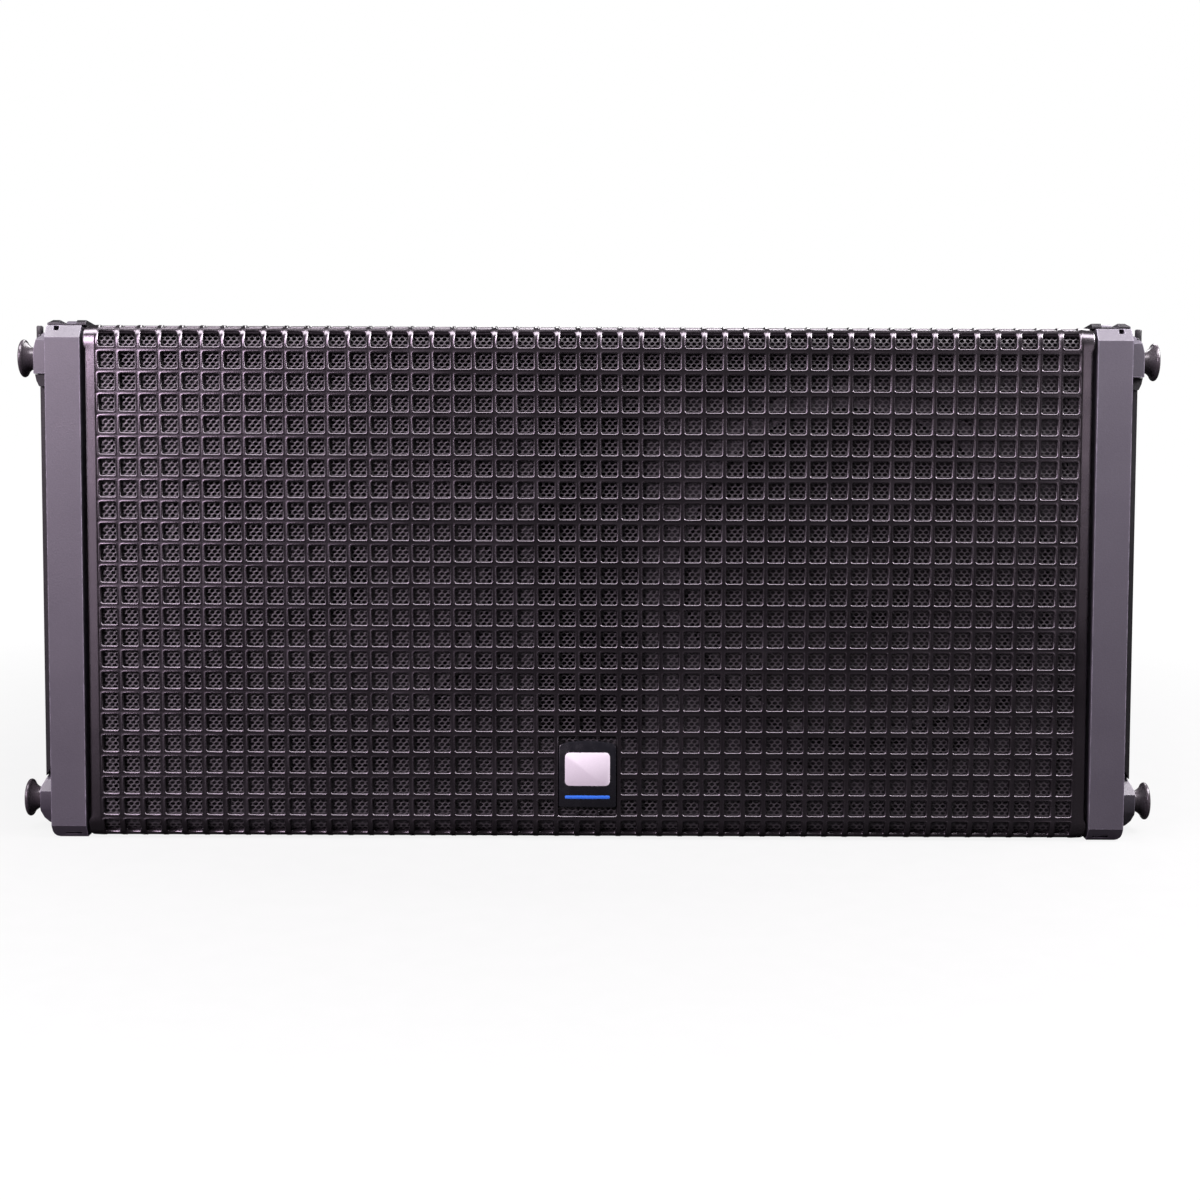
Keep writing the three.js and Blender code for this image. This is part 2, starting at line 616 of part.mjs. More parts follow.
function inputLead() {
  const points = [
    [160, 401, -61], [158, 388, -61], [140, 374, -58], [90, 366, -40], [40, 368, -20], [0, 378, -8],
    [-26, 388, -4], [-31, 395, -4], [-31, 401, -4],
  ].map((point) => new THREE.Vector3(...point));
  const section = new THREE.Shape().absarc(0, 0, 3, 0, 2 * Math.PI);
  const extrudePath = new THREE.CatmullRomCurve3(points);
  return new THREE.ExtrudeGeometry(section, { steps: 20, curveSegments: 3, extrudePath });
}

// ---------------------------------------------------------------- rear hardware
function rearBracket() {
  const wedgeTop = 112;
  const back = box([-32, 32], [SHELL_REAR + GAP, 430], [-wedgeTop, wedgeTop]);
  const ears = [];
  for (const side of [-1, 1]) {
    const x = side > 0 ? [EAR.inner, EAR.outer] : [-EAR.outer, -EAR.inner];
    ears.push(box(x, [EAR.front, EAR.rear], [72, 110]));
    ears.push(box(x, [EAR.front, EAR.rear], [-110, -72]));
  }
  const boss = rodX(11.5, EAR.outer - 1, REAR_PIN.boss, HINGE.y, REAR_PIN.z);
  const holes = [
    rodX(HINGE.bore, -20, 20, HINGE.y, HINGE.z),
    rodX(PIN.radius + PIN.clear, -20, REAR_PIN.collarX, HINGE.y, REAR_PIN.z),
    rodX(POCKET.radius, REAR_PIN.collarX - 0.4, REAR_PIN.pocketTo, HINGE.y, REAR_PIN.z),
    rodX(PIN.stem + PIN.clear, 30, 45, HINGE.y, REAR_PIN.z),
  ];
  return cut(join(back, ...ears, boss), ...holes);
}

function rearSplayArm() {
  const { halfThick, halfWidth, length } = REAR_ARM;
  const shape = new THREE.Shape();
  shape.absarc(0, 0, halfWidth, 0, Math.PI);
  shape.lineTo(-halfWidth, 10 - length);
  shape.lineTo(10 - halfWidth, -length);
  shape.lineTo(halfWidth - 10, -length);
  shape.lineTo(halfWidth, 10 - length);
  for (const along of [0, -62, -78, -94, -110]) {
    const hole = new THREE.Path();
    hole.absarc(0, along, HINGE.bore, 0, 2 * Math.PI);
    shape.holes.push(hole);
  }
  return extrude(shape, 2 * halfThick, 5).applyMatrix4(ALONG_X).translate(-halfThick, 0, 0);
}

function pivotBolt() {
  const reach = EAR.outer + GAP;
  const heads = [[-reach - 5, -reach], [reach, reach + 5]].map(([x0, x1]) => rodX(8.5, x0, x1, 0, 0, 6));
  return join(rodX(5, -reach - 1, reach + 1, 0, 0), ...heads).translate(0, HINGE.y, HINGE.z);
}

function rearHandle(x) {
  const half = 65;
  const [foot, grip, z] = [428, 468, 62];
  const path = new THREE.CurvePath();
  const corner = 16;
  const at = (u, y) => new THREE.Vector3(x + u, y, z);
  const stations = [at(-half, foot), at(-half, grip - corner), at(corner - half, grip)];
  stations.push(at(half - corner, grip), at(half, grip - corner), at(half, foot));
  path.add(new THREE.LineCurve3(stations[0], stations[1]));
  path.add(new THREE.QuadraticBezierCurve3(stations[1], at(-half, grip), stations[2]));
  path.add(new THREE.LineCurve3(stations[2], stations[3]));
  path.add(new THREE.QuadraticBezierCurve3(stations[3], at(half, grip), stations[4]));
  path.add(new THREE.LineCurve3(stations[4], stations[5]));
  const section = new THREE.Shape().absarc(0, 0, 8, 0, 2 * Math.PI);
  const bar = new THREE.ExtrudeGeometry(section, { steps: 22, curveSegments: 4, extrudePath: path });
  const feet = [-half, half].map((u) => {
    return box([x + u - 16, x + u + 16], [SHELL_REAR + GAP, 430], [z - 16, z + 16]);
  });
  return join(bar, ...feet);
}

function inputPlate() {
  const plate = box([90, 230], [SHELL_REAR + GAP, 428], [-97, -25]);
  return cut(plate, ...[130, 190].map((x) => rodY(13, 400, 440, x, -61)));
}

function speakerSocket(x) {
  const profile = [
    [0, 404], [12.5, 404], [12.5, 428.3], [17, 428.3], [17, 430.5], [9.5, 430.5], [9.5, 410], [0, 410],
  ];
  return turned(profile).translate(x, 0, -61);
}

function rearHardware() {
  part('rear_bracket', rearBracket(), blackSteel());
  const pivot = new THREE.Group();
  pivot.position.set(0, HINGE.y, HINGE.z);
  pivot.rotation.x = WEDGE;
  cabinet.add(pivot);
  part('rear_splay_arm', rearSplayArm(), blackSteel(), pivot);
  part('rear_pivot_bolt', pivotBolt(), steel());
  const { tip, collarX, end, boss, pocketTo, z } = REAR_PIN;
  const lockPin = alongX(turned(pinProfile(tip, collarX, end), 10)).translate(0, HINGE.y, z);
  part('rear_lock_pin', lockPin, steel());
  part('rear_pin_knob', alongX(turned(knobProfile(boss + 0.7), 12)).translate(0, HINGE.y, z), blackSteel());
  part('rear_pin_spring', springX(6.4, 0.8, 4, collarX + 1.2, pocketTo - 0.2, HINGE.y, z), steel());
  part('rear_handle_right', rearHandle(165), blackSteel());
  part('rear_handle_left', rearHandle(-165), blackSteel());
  part('input_plate', inputPlate(), blackSteel());
  part('speaker_socket_in', speakerSocket(130), blackPlastic());
  part('speaker_socket_link', speakerSocket(190), blackPlastic());
}

// ---------------------------------------------------------------- assembly
part('cabinet_shell', cabinetShell(), plywood());
part('front_baffle', frontBaffle(), plywood());
part('front_grille', frontGrille(), grilleGrey());
part('grille_mesh', grilleMesh(), blackPlastic());
part('badge_plate', badgePlate(), blackPlastic());
pair('side_frame', sideFrame(), castGrey);
pair('side_panel', sidePanel(), blackPlastic);
pair('handle_cup', handleCup(), blackPlastic);
rigging();
woofer(1);
woofer(-1);
part('waveguide', waveguide(), blackPlastic());
part('compression_driver_upper', compressionDriver(DRIVER.z), ferrite());
part('compression_driver_lower', compressionDriver(-DRIVER.z), ferrite());
part('crossover_board', crossoverBoard(), finish(0x1f4a2c, 0.6, 0));
part('crossover_inductor', crossoverInductor(), finish(0xa8642e, 0.4, 0.7));
part('crossover_capacitor', crossoverCapacitor(), finish(0xc9b36b, 0.5, 0));
part('lining_panel', liningPanel(), finish(0x3c3c40, 0.95, 0));
part('input_lead', inputLead(), rubber());
rearHardware();

// The lower side of the wedge is turned flat, and the origin goes under the middle of the cabinet.
cabinet.rotation.x = -WEDGE;
cabinet.updateMatrixWorld(true);
const bounds = new THREE.Box3().setFromObject(cabinet, true);
cabinet.position.set(0, -(bounds.min.y + bounds.max.y) / 2, -bounds.min.z);

export default cabinet;
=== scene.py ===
"""Line array speaker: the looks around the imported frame.

Pieces are laid out in millimetres in the cabinet's own frame (x right, y back from the front
plane, z up from the middle of the front), and PLACE turns them by the wedge angle onto the
row frame, in metres.
"""
import json
import math

import bmesh
import bpy
from mathutils import Matrix, Vector


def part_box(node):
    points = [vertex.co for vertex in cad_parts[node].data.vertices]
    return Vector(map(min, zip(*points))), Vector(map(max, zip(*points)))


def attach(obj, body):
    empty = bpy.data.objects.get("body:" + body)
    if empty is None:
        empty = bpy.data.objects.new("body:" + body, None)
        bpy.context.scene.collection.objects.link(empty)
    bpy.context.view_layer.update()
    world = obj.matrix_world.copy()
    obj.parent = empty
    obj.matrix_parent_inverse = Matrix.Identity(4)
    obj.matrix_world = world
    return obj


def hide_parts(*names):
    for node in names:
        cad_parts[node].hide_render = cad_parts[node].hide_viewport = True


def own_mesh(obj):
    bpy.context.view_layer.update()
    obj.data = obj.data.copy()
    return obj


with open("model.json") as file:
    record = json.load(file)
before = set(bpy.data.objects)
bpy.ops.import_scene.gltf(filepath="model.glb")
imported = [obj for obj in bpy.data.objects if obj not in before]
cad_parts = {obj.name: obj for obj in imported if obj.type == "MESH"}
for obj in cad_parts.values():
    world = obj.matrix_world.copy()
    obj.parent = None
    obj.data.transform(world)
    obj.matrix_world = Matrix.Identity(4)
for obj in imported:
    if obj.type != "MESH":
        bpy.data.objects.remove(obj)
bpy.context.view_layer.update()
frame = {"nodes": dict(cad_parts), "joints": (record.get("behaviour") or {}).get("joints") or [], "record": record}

# ---------------------------------------------------------------- placement
WEDGE = math.radians(4)
HALF_HEIGHT = 155
MOUNT_Y = 25
TURN = Matrix.Rotation(-WEDGE, 4, "X")
mounts = {m["name"]: Vector(m["pos_m"]) for m in frame["record"]["mounts"]}
foot = Vector((-0.3192, MOUNT_Y / 1000, -(HALF_HEIGHT - MOUNT_Y * math.tan(WEDGE)) / 1000))
ORIGIN = mounts["resting_face_left"] - TURN @ foot
PLACE = Matrix.Translation(ORIGIN) @ TURN @ Matrix.Scale(0.001, 4)


# ---------------------------------------------------------------- materials
def node_of(tree, kind, **values):
    node = tree.nodes.new(kind)
    for key, value in values.items():
        setattr(node, key, value)
    return node


def ramp(tree, source, low, high, to_low, to_high):
    """Maps source from low..high to to_low..to_high, held inside them."""
    node = node_of(tree, "ShaderNodeMapRange", clamp=True)
    tree.links.new(source, node.inputs["Value"])
    for name, value in zip(("From Min", "From Max", "To Min", "To Max"), (low, high, to_low, to_high)):
        node.inputs[name].default_value = value
    return node.outputs["Result"]


def noise(tree, scale, detail, stretch=None, rough=0.5):
    coords = node_of(tree, "ShaderNodeTexCoord").outputs["Object"]
    if stretch:
        mapping = node_of(tree, "ShaderNodeMapping")
        mapping.inputs["Scale"].default_value = stretch
        tree.links.new(coords, mapping.inputs["Vector"])
        coords = mapping.outputs["Vector"]
    node = node_of(tree, "ShaderNodeTexNoise")
    node.inputs["Scale"].default_value = scale
    node.inputs["Detail"].default_value = detail
    node.inputs["Roughness"].default_value = rough
    tree.links.new(coords, node.inputs["Vector"])
    return node.outputs["Fac"]


def mixed(tree, factor, a, b):
    """Mixes two colours; either may be a socket or a plain colour."""
    node = node_of(tree, "ShaderNodeMix", data_type="RGBA")
    for index, value in ((6, a), (7, b)):
        if isinstance(value, bpy.types.NodeSocket):
            tree.links.new(value, node.inputs[index])
        else:
            node.inputs[index].default_value = (*value, 1)
    if isinstance(factor, bpy.types.NodeSocket):
        tree.links.new(factor, node.inputs[0])
    else:
        node.inputs[0].default_value = factor
    return node.outputs[2]


def times(tree, a, b):
    node = node_of(tree, "ShaderNodeMath", operation="MULTIPLY")
    for socket, value in zip(node.inputs, (a, b)):
        if isinstance(value, bpy.types.NodeSocket):
            tree.links.new(value, socket)
        else:
            socket.default_value = value
    return node.outputs[0]


def edge_mask(tree, radius, low, high):
    """1 along sharp edges: where a rounded normal leaves the true one."""
    bevel = node_of(tree, "ShaderNodeBevel", samples=4)
    bevel.inputs["Radius"].default_value = radius
    normal = node_of(tree, "ShaderNodeNewGeometry").outputs["Normal"]
    dot = node_of(tree, "ShaderNodeVectorMath", operation="DOT_PRODUCT")
    tree.links.new(bevel.outputs["Normal"], dot.inputs[0])
    tree.links.new(normal, dot.inputs[1])
    return ramp(tree, dot.outputs["Value"], high, low, 0, 1)


SPECK = 0.14


def surface(
    name, colour, rough, metal=0.0, spread=0.12, mottle=14, grain=700, bump=0.25, depth=0.0002,
    rough_spread=0.08, wear=None, wear_radius=0.0012, scuffs=0.0, brushed=None, coat=0.0, specular=0.5,
    tint=(1, 1, 1),
):
    """A finish with mottled colour, fine grain, uneven gloss and, where asked, worn edges."""
    material = bpy.data.materials.new(name)
    material.use_nodes = True
    tree = material.node_tree
    shader = tree.nodes["Principled BSDF"]
    shader.inputs["Metallic"].default_value = metal
    shader.inputs["Coat Weight"].default_value = coat
    shader.inputs["Specular IOR Level"].default_value = specular
    shader.inputs["Specular Tint"].default_value = (*tint, 1)
    dark = [c * (1 - spread) for c in colour]
    light = [min(1, c * (1 + spread)) for c in colour]
    tone = mixed(tree, ramp(tree, noise(tree, mottle, 4), 0.35, 0.65, 0, 1), dark, light)
    fine = noise(tree, grain, 3, brushed)
    low, high = [c * (1 - SPECK) for c in colour], [c * (1 + SPECK) for c in colour]
    speck = mixed(tree, ramp(tree, fine, 0.3, 0.7, 0, 1), low, high)
    tone = mixed(tree, 0.5, tone, speck)
    gloss = ramp(tree, noise(tree, mottle * 5, 5), 0.3, 0.7, rough - rough_spread, rough + rough_spread)
    if scuffs:
        streaks = noise(tree, 60, 6, (1.0, 0.35, 7.0), 0.7)
        mask = times(tree, ramp(tree, streaks, 0.62, 0.72, 0, 1), scuffs)
        tone = mixed(tree, mask, tone, [min(1, c * 2.2 + 0.02) for c in colour])
    if wear:
        rub = ramp(tree, noise(tree, 160, 5, None, 0.65), 0.38, 0.62, 0.15, 1)
        mask = times(tree, edge_mask(tree, wear_radius, 0.8, 0.97), rub)
        tone = mixed(tree, mask, tone, wear)
    tree.links.new(tone, shader.inputs["Base Color"])
    tree.links.new(gloss, shader.inputs["Roughness"])
    bumped = node_of(tree, "ShaderNodeBump")
    bumped.inputs["Strength"].default_value = bump
    bumped.inputs["Distance"].default_value = depth
    tree.links.new(fine, bumped.inputs["Height"])
    tree.links.new(bumped.outputs["Normal"], shader.inputs["Normal"])
    return material


CAST = (0.053, 0.0485, 0.060)
MATERIALS = {
    "cast_frame": surface(
        "powder_coated_casting", CAST, 0.42, spread=0.07, mottle=9, grain=1100, bump=0.32,
        rough_spread=0.05, wear=(0.24, 0.22, 0.27), scuffs=0.08, specular=0.55,
    ),
    "grille_plastic": surface(
        "moulded_grille", (0.0040, 0.0033, 0.0039), 0.25, spread=0.10, mottle=7, grain=1500, bump=0.14,
        rough_spread=0.05, specular=1.0, tint=(1.0, 0.91, 1.0),
    ),
    "mesh_black": surface(
        "expanded_steel", (0.068, 0.064, 0.067), 0.40, metal=0.3, spread=0.15, mottle=30, grain=1800,
        bump=0.2,
    ),
    "badge_black": surface(
        "badge_enamel", (0.006, 0.006, 0.008), 0.25, mottle=40, grain=900, bump=0.05, coat=0.3,
    ),
    "badge_silver": surface(
        "badge_anodised", (0.58, 0.54, 0.58), 0.42, spread=0.04, mottle=60, grain=900,
        bump=0.08, brushed=(1, 1, 14),
    ),
    "badge_blue": surface(
        "badge_line", (0.03, 0.13, 0.55), 0.3, spread=0.06, mottle=60, grain=900, bump=0.05,
    ),
    "panel_black": surface(
        "textured_panel", (0.0080, 0.0076, 0.0088), 0.52, spread=0.12, mottle=8, grain=900, bump=0.4,
        scuffs=0.12, specular=0.3,
    ),
    "pin_steel": surface(
        "zinc_steel", (0.50, 0.50, 0.52), 0.3, metal=0.95, spread=0.1, mottle=60, grain=500, bump=0.12,
        brushed=(12, 1, 1),
    ),
    "knob_dark": surface(
        "turned_knob", (0.055, 0.048, 0.054), 0.26, metal=0.25, spread=0.12, mottle=50, grain=600,
        bump=0.10, brushed=(20, 1, 1), wear=(0.17, 0.15, 0.16), wear_radius=0.0006,
    ),
    "steel_black": surface(
        "black_steel", (0.014, 0.013, 0.015), 0.40, metal=0.4, spread=0.15, mottle=18, grain=1000,
        bump=0.25, wear=(0.12, 0.12, 0.13), scuffs=0.15,
    ),
    "box_paint": surface(
        "cabinet_paint", (0.022, 0.0215, 0.023), 0.62, spread=0.06, mottle=10, grain=420, bump=0.9,
        depth=0.0006, rough_spread=0.03, scuffs=0.10,
    ),
    "socket_plastic": surface("socket_plastic", (0.02, 0.02, 0.022), 0.35, mottle=40, grain=1200, bump=0.1),
    "socket_blue": surface("socket_insert", (0.03, 0.09, 0.30), 0.4, mottle=40, grain=1200, bump=0.1),
    "cone_paper": surface(
        "pressed_paper", (0.022, 0.021, 0.021), 0.85, spread=0.2, mottle=70, grain=900, bump=0.6,
        depth=0.0004, specular=0.3,
    ),
    "surround_rubber": surface("butyl_rubber", (0.012, 0.012, 0.012), 0.55, mottle=30, grain=700, bump=0.15),
    "magnet_ferrite": surface(
        "ferrite", (0.045, 0.045, 0.048), 0.55, metal=0.2, spread=0.2, mottle=40, grain=500, bump=0.5,
    ),
    "coil_copper": surface(
        "wound_copper", (0.62, 0.27, 0.12), 0.3, metal=1.0, spread=0.1, mottle=40, grain=900, bump=0.5,
        brushed=(1, 1, 10),
    ),
    "board_green": surface(
        "board_lacquer", (0.01, 0.09, 0.035), 0.3, mottle=50, grain=600, bump=0.1, coat=0.3,
    ),
    "capacitor_film": surface("capacitor_film", (0.5, 0.32, 0.05), 0.4, mottle=50, grain=700, bump=0.1),
    "lining_foam": surface(
        "lining_foam", (0.10, 0.10, 0.105), 0.95, spread=0.25, mottle=60, grain=350, bump=1.0,
        depth=0.001, specular=0.2,
    ),
}


# ---------------------------------------------------------------- meshes
def finished(name, mesh, slot, body, replaces=(), material=None, smooth=30):
    """Makes mesh a piece that rides on body, with its finish."""
    mesh.shade_smooth()
    mesh.set_sharp_from_angle(angle=math.radians(smooth))
    mesh.materials.clear()
    mesh.materials.append(MATERIALS[material or slot])
    piece = bpy.data.objects.new(name, mesh)
    bpy.context.scene.collection.objects.link(piece)
    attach(piece, body)
    if replaces:
        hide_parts(*replaces)
    return piece


class Shape:
    """Vertices and faces in cabinet millimetres, gathered from several forms."""

    def __init__(self):
        self.verts = []
        self.faces = []

    def add(self, verts, faces):
        start = len(self.verts)
        self.verts += list(verts)
        self.faces += [tuple(start + i for i in face) for face in faces]
        return self

    def mesh(self, name, merge=0.0):
        mesh = bpy.data.meshes.new(name)
        mesh.from_pydata([PLACE @ Vector(v) for v in self.verts], [], self.faces)
        bm = bmesh.new()
        bm.from_mesh(mesh)
        if merge:
            bmesh.ops.remove_doubles(bm, verts=bm.verts, dist=merge / 1000)
        bmesh.ops.recalc_face_normals(bm, faces=bm.faces)
        bm.to_mesh(mesh)
        bm.free()
        return mesh


def joined(rings, count, closed=True):
    """Faces between successive rings of count points, each ring open or closed."""
    faces = []
    for ring in range(rings - 1):
        for i in range(count if closed else count - 1):
            a, b = ring * count + i, ring * count + (i + 1) % count
            faces.append((a, b, b + count, a + count))
    return faces


def ends(total, count):
    """A face over the first ring of count points and one over the last."""
    return [tuple(range(count)), tuple(range(total - count, total))]


def filleted(points, radius, steps, closed=True):
    """The same outline with its corners rounded."""
    result = []
    count = len(points)
    for i, point in enumerate(points):
        here = Vector(point)
        if not closed and i in (0, count - 1):
            result.append(tuple(here))
            continue
        before, after = Vector(points[i - 1]) - here, Vector(points[(i + 1) % count]) - here
        angle = before.angle(after)
        if angle > math.radians(178) or before.length < 1e-6 or after.length < 1e-6:
            result.append(tuple(here))
            continue
        reach = min(radius / math.tan(angle / 2), before.length * 0.45, after.length * 0.45)
        start, end = here + before.normalized() * reach, here + after.normalized() * reach
        for step in range(steps + 1):
            t = step / steps
            result.append(tuple(start.lerp(here, t).lerp(here.lerp(end, t), t)))
    return result


def lathe(profile, place, steps, hexed=()):
    """Turns (radius, height) points round local Z. The points named in hexed are six-sided."""
    verts, faces, rings = [], [], []
    for number, (radius, height) in enumerate(profile):
        if radius < 1e-6:
            rings.append([len(verts)])
            verts.append((0, 0, height))
            continue
        ring = []
        for step in range(steps):
            angle = 2 * math.pi * step / steps
            reach = radius
            if number in hexed:
                part = (angle + math.pi / 6) % (math.pi / 3) - math.pi / 6
                reach = radius / math.cos(part)
            ring.append(len(verts))
            verts.append((reach * math.cos(angle), reach * math.sin(angle), height))
        rings.append(ring)
    for a, b in zip(rings, rings[1:]):
        for step in range(steps):
            following = (step + 1) % steps
            corners = [a[step % len(a)], a[following % len(a)], b[following % len(b)], b[step % len(b)]]
            kept = [c for i, c in enumerate(corners) if c not in corners[:i]]
            if len(kept) > 2:
                faces.append(tuple(kept))
    return [place @ Vector(v) for v in verts], faces


def along(axis, x, y, z):
    """A matrix that lays local Z along a cabinet axis, from the point given."""
    turn = Vector((0, 0, 1)).rotation_difference(Vector(axis)).to_matrix().to_4x4()
    return Matrix.Translation((x, y, z)) @ turn


def facing(toward, x=0, y=0, z=0, up=1):
    """A matrix that stands an outline (u, v) upright and extrudes it to the back (1) or front (-1)."""
    return Matrix(((1, 0, 0, x), (0, 0, toward, y), (0, up, 0, z), (0, 0, 0, 1)))


def slab(outline, low, high, bevel, place):
    """An outline (u, v) extruded along local Z with its rims rounded in two steps."""
    steps = 2

    def inset(points, by):
        result = []
        for i, point in enumerate(points):
            here = Vector(point)
            a = (here - Vector(points[i - 1])).normalized()
            b = (Vector(points[(i + 1) % len(points)]) - here).normalized()
            normal = Vector((-(a.y + b.y), a.x + b.x))
            scale = max(0.3, normal.normalized().dot(Vector((-a.y, a.x))))
            result.append(here + normal.normalized() * (by / scale))
        return result

    levels = [(bevel * (1 - math.sin(t)), low + bevel * (1 - math.cos(t)))
              for t in (math.pi / 2 * i / steps for i in range(steps + 1))]
    levels += [(by, high - (level - low)) for by, level in reversed(levels)]
    verts = [(p.x, p.y, level) for by, level in levels for p in inset(outline, by)]
    first, last = ends(len(verts), len(outline))
    faces = [*joined(len(levels), len(outline)), first[::-1], last]
    return [place @ Vector(v) for v in verts], faces


FLAT, SHARP = math.radians(0.6), math.radians(28)
WELD = 2e-6


def softened(name, node, slot, body, width, material=None):
    """A copy of a CAD solid with its machined edges rounded by width, standing for that node."""
    bm = bmesh.new()
    bm.from_mesh(frame["nodes"][node].data)
    bmesh.ops.remove_doubles(bm, verts=bm.verts, dist=WELD)
    bmesh.ops.dissolve_limit(bm, angle_limit=FLAT, verts=bm.verts, edges=bm.edges)
    edges = [e for e in bm.edges if e.is_manifold and e.calc_face_angle(0) > SHARP]
    bmesh.ops.bevel(
        bm, geom=edges, offset=width / 1000, offset_type="OFFSET", segments=2,
        profile=0.5, affect="EDGES", clamp_overlap=True, miter_outer="ARC", loop_slide=True,
    )
    bmesh.ops.remove_doubles(bm, verts=bm.verts, dist=WELD)
    mesh = bpy.data.meshes.new(name)
    bm.to_mesh(mesh)
    bm.free()
    piece = finished(name, mesh, slot, body, (node,), material, 40)
    even = piece.modifiers.new("even_shading", "WEIGHTED_NORMAL")
    even.keep_sharp = True


# ---------------------------------------------------------------- the grille
PITCH_X, PITCH_S = 12.54, 12.813
COLUMNS, ROWS = 47, 24
ROW_SHIFT = -0.54
HOLE, HOLE_CORNER = 4.9, 1.0
CORNER_LINE = HOLE - HOLE_CORNER + 0.2
SIDE_STOP = 1.7
GROOVE = 0.10
ROLL = 10
GRILLE_TOP, GRILLE_BOTTOM = 155.4, 154.2
END_ANGLE = math.pi / 2 + WEDGE
GRILLE_BACK = 24.0
SKIN = 2.8
BORDER, EAR_BORDER = 300.9, 302.3
EAR_FROM, EAR_BLEND = 141.0, 2.0
CORNER = 4.0
STRAIGHT = (GRILLE_BACK - ROLL * (1 - math.cos(END_ANGLE))) / math.cos(WEDGE)


def flat_half(sign):
    """How far the grille's face runs flat above or below its middle."""
    return (GRILLE_TOP if sign > 0 else GRILLE_BOTTOM) - ROLL


def path_end(sign):
    return flat_half(sign) + ROLL * END_ANGLE + STRAIGHT


def on_grille(x, s, inward=0.0):
    """The point at x and arc length s on the grille's face, a set depth inside it."""
    side, s = (1, s) if s >= 0 else (-1, -s)
    flat = flat_half(side)
    angle = min(max((s - flat) / ROLL, 0), END_ANGLE)
    y = ROLL * (1 - math.cos(angle))
    z = min(s, flat) + ROLL * math.sin(angle)
    beyond = max(0, s - flat - ROLL * END_ANGLE)
    y += beyond * math.cos(WEDGE)
    z -= beyond * math.sin(WEDGE)
    return (x, y + inward * math.cos(angle), side * (z - inward * math.sin(angle)))


def row_centre(row):
    return ((ROWS - 1) / 2 - row) * PITCH_S + ROW_SHIFT


def column_centre(column):
    return (column - (COLUMNS - 1) / 2) * PITCH_X


def four_corners(corner, side_x, side_s, extra):
    """One corner's points mirrored into all four, anticlockwise from the right side's upper end.

    With extra, each upright side also has a point side_s above its middle and one below.
    """
    points = []
    for sx, sy, order in ((1, 1, 1), (-1, 1, -1), (-1, -1, 1), (1, -1, -1)):
        points += [(sx * px, sy * ps) for px, ps in corner[::order]]
        if extra and sx * sy < 0:
            points += [(sx * side_x, sy * side_s), (sx * side_x, -sy * side_s)]
    return points


def hole_outline(half, corner, extra):
    """A hole's rounded square as (x, s), half its width from the middle to each side."""
    k = corner * (1 - math.sqrt(0.5))
    arc = [(half, half - corner), (half - k, half - k), (half - corner, half)]
    return four_corners(arc, half, half * 0.33, extra)


def tile_outline(extra):
    """The square round one hole, with a point for each point of the hole's outline."""
    half_x, half_s = PITCH_X / 2, PITCH_S / 2
    corner = [(half_x, CORNER_LINE), (half_x, half_s), (CORNER_LINE, half_s)]
    return four_corners(corner, half_x, SIDE_STOP, extra)


# (growth of the hole's outline, depth) from the groove over the raised rim into the hole
RIM = ((0.80, GROOVE), (0.52, 0.02), (0.40, 0.0), (-0.16, 0.50), (-0.36, 1.0))
WALL = -0.40
BLIND_DEPTH = 1.3


def rounded_by(grow):
    return HOLE_CORNER + grow * 0.6


def tile(shape, x, s, extra, blind):
    """One square of the grille: the groove between holes, the hole's raised rim and its wall."""
    rings = [(tile_outline(extra), GROOVE)]
    for grow, depth in (*RIM, (WALL, BLIND_DEPTH if blind else SKIN)):
        rings.append((hole_outline(HOLE + grow, rounded_by(grow), extra), depth))
    add_rings(shape, rings, x, s, blind)


def add_rings(shape, rings, x, s, blind=False):
    """Joins (outline, depth) rings round the point x, s of the grille; a blind one gets a bottom."""
    count = len(rings[0][0])
    verts = [on_grille(x + px, s + ps, depth) for outline, depth in rings for px, ps in outline]
    bottom = ends(len(verts), count)[1:] if blind else []
    shape.add(verts, joined(len(rings), count) + bottom)


def row_is_rolled(row):
    return row < 1 or row > ROWS - 2


BADGE_COLUMNS, BADGE_ROWS = range(22, 25), range(19, 23)
WINDOW_RIM_X, WINDOW_RIM_S = 1.17, 1.33


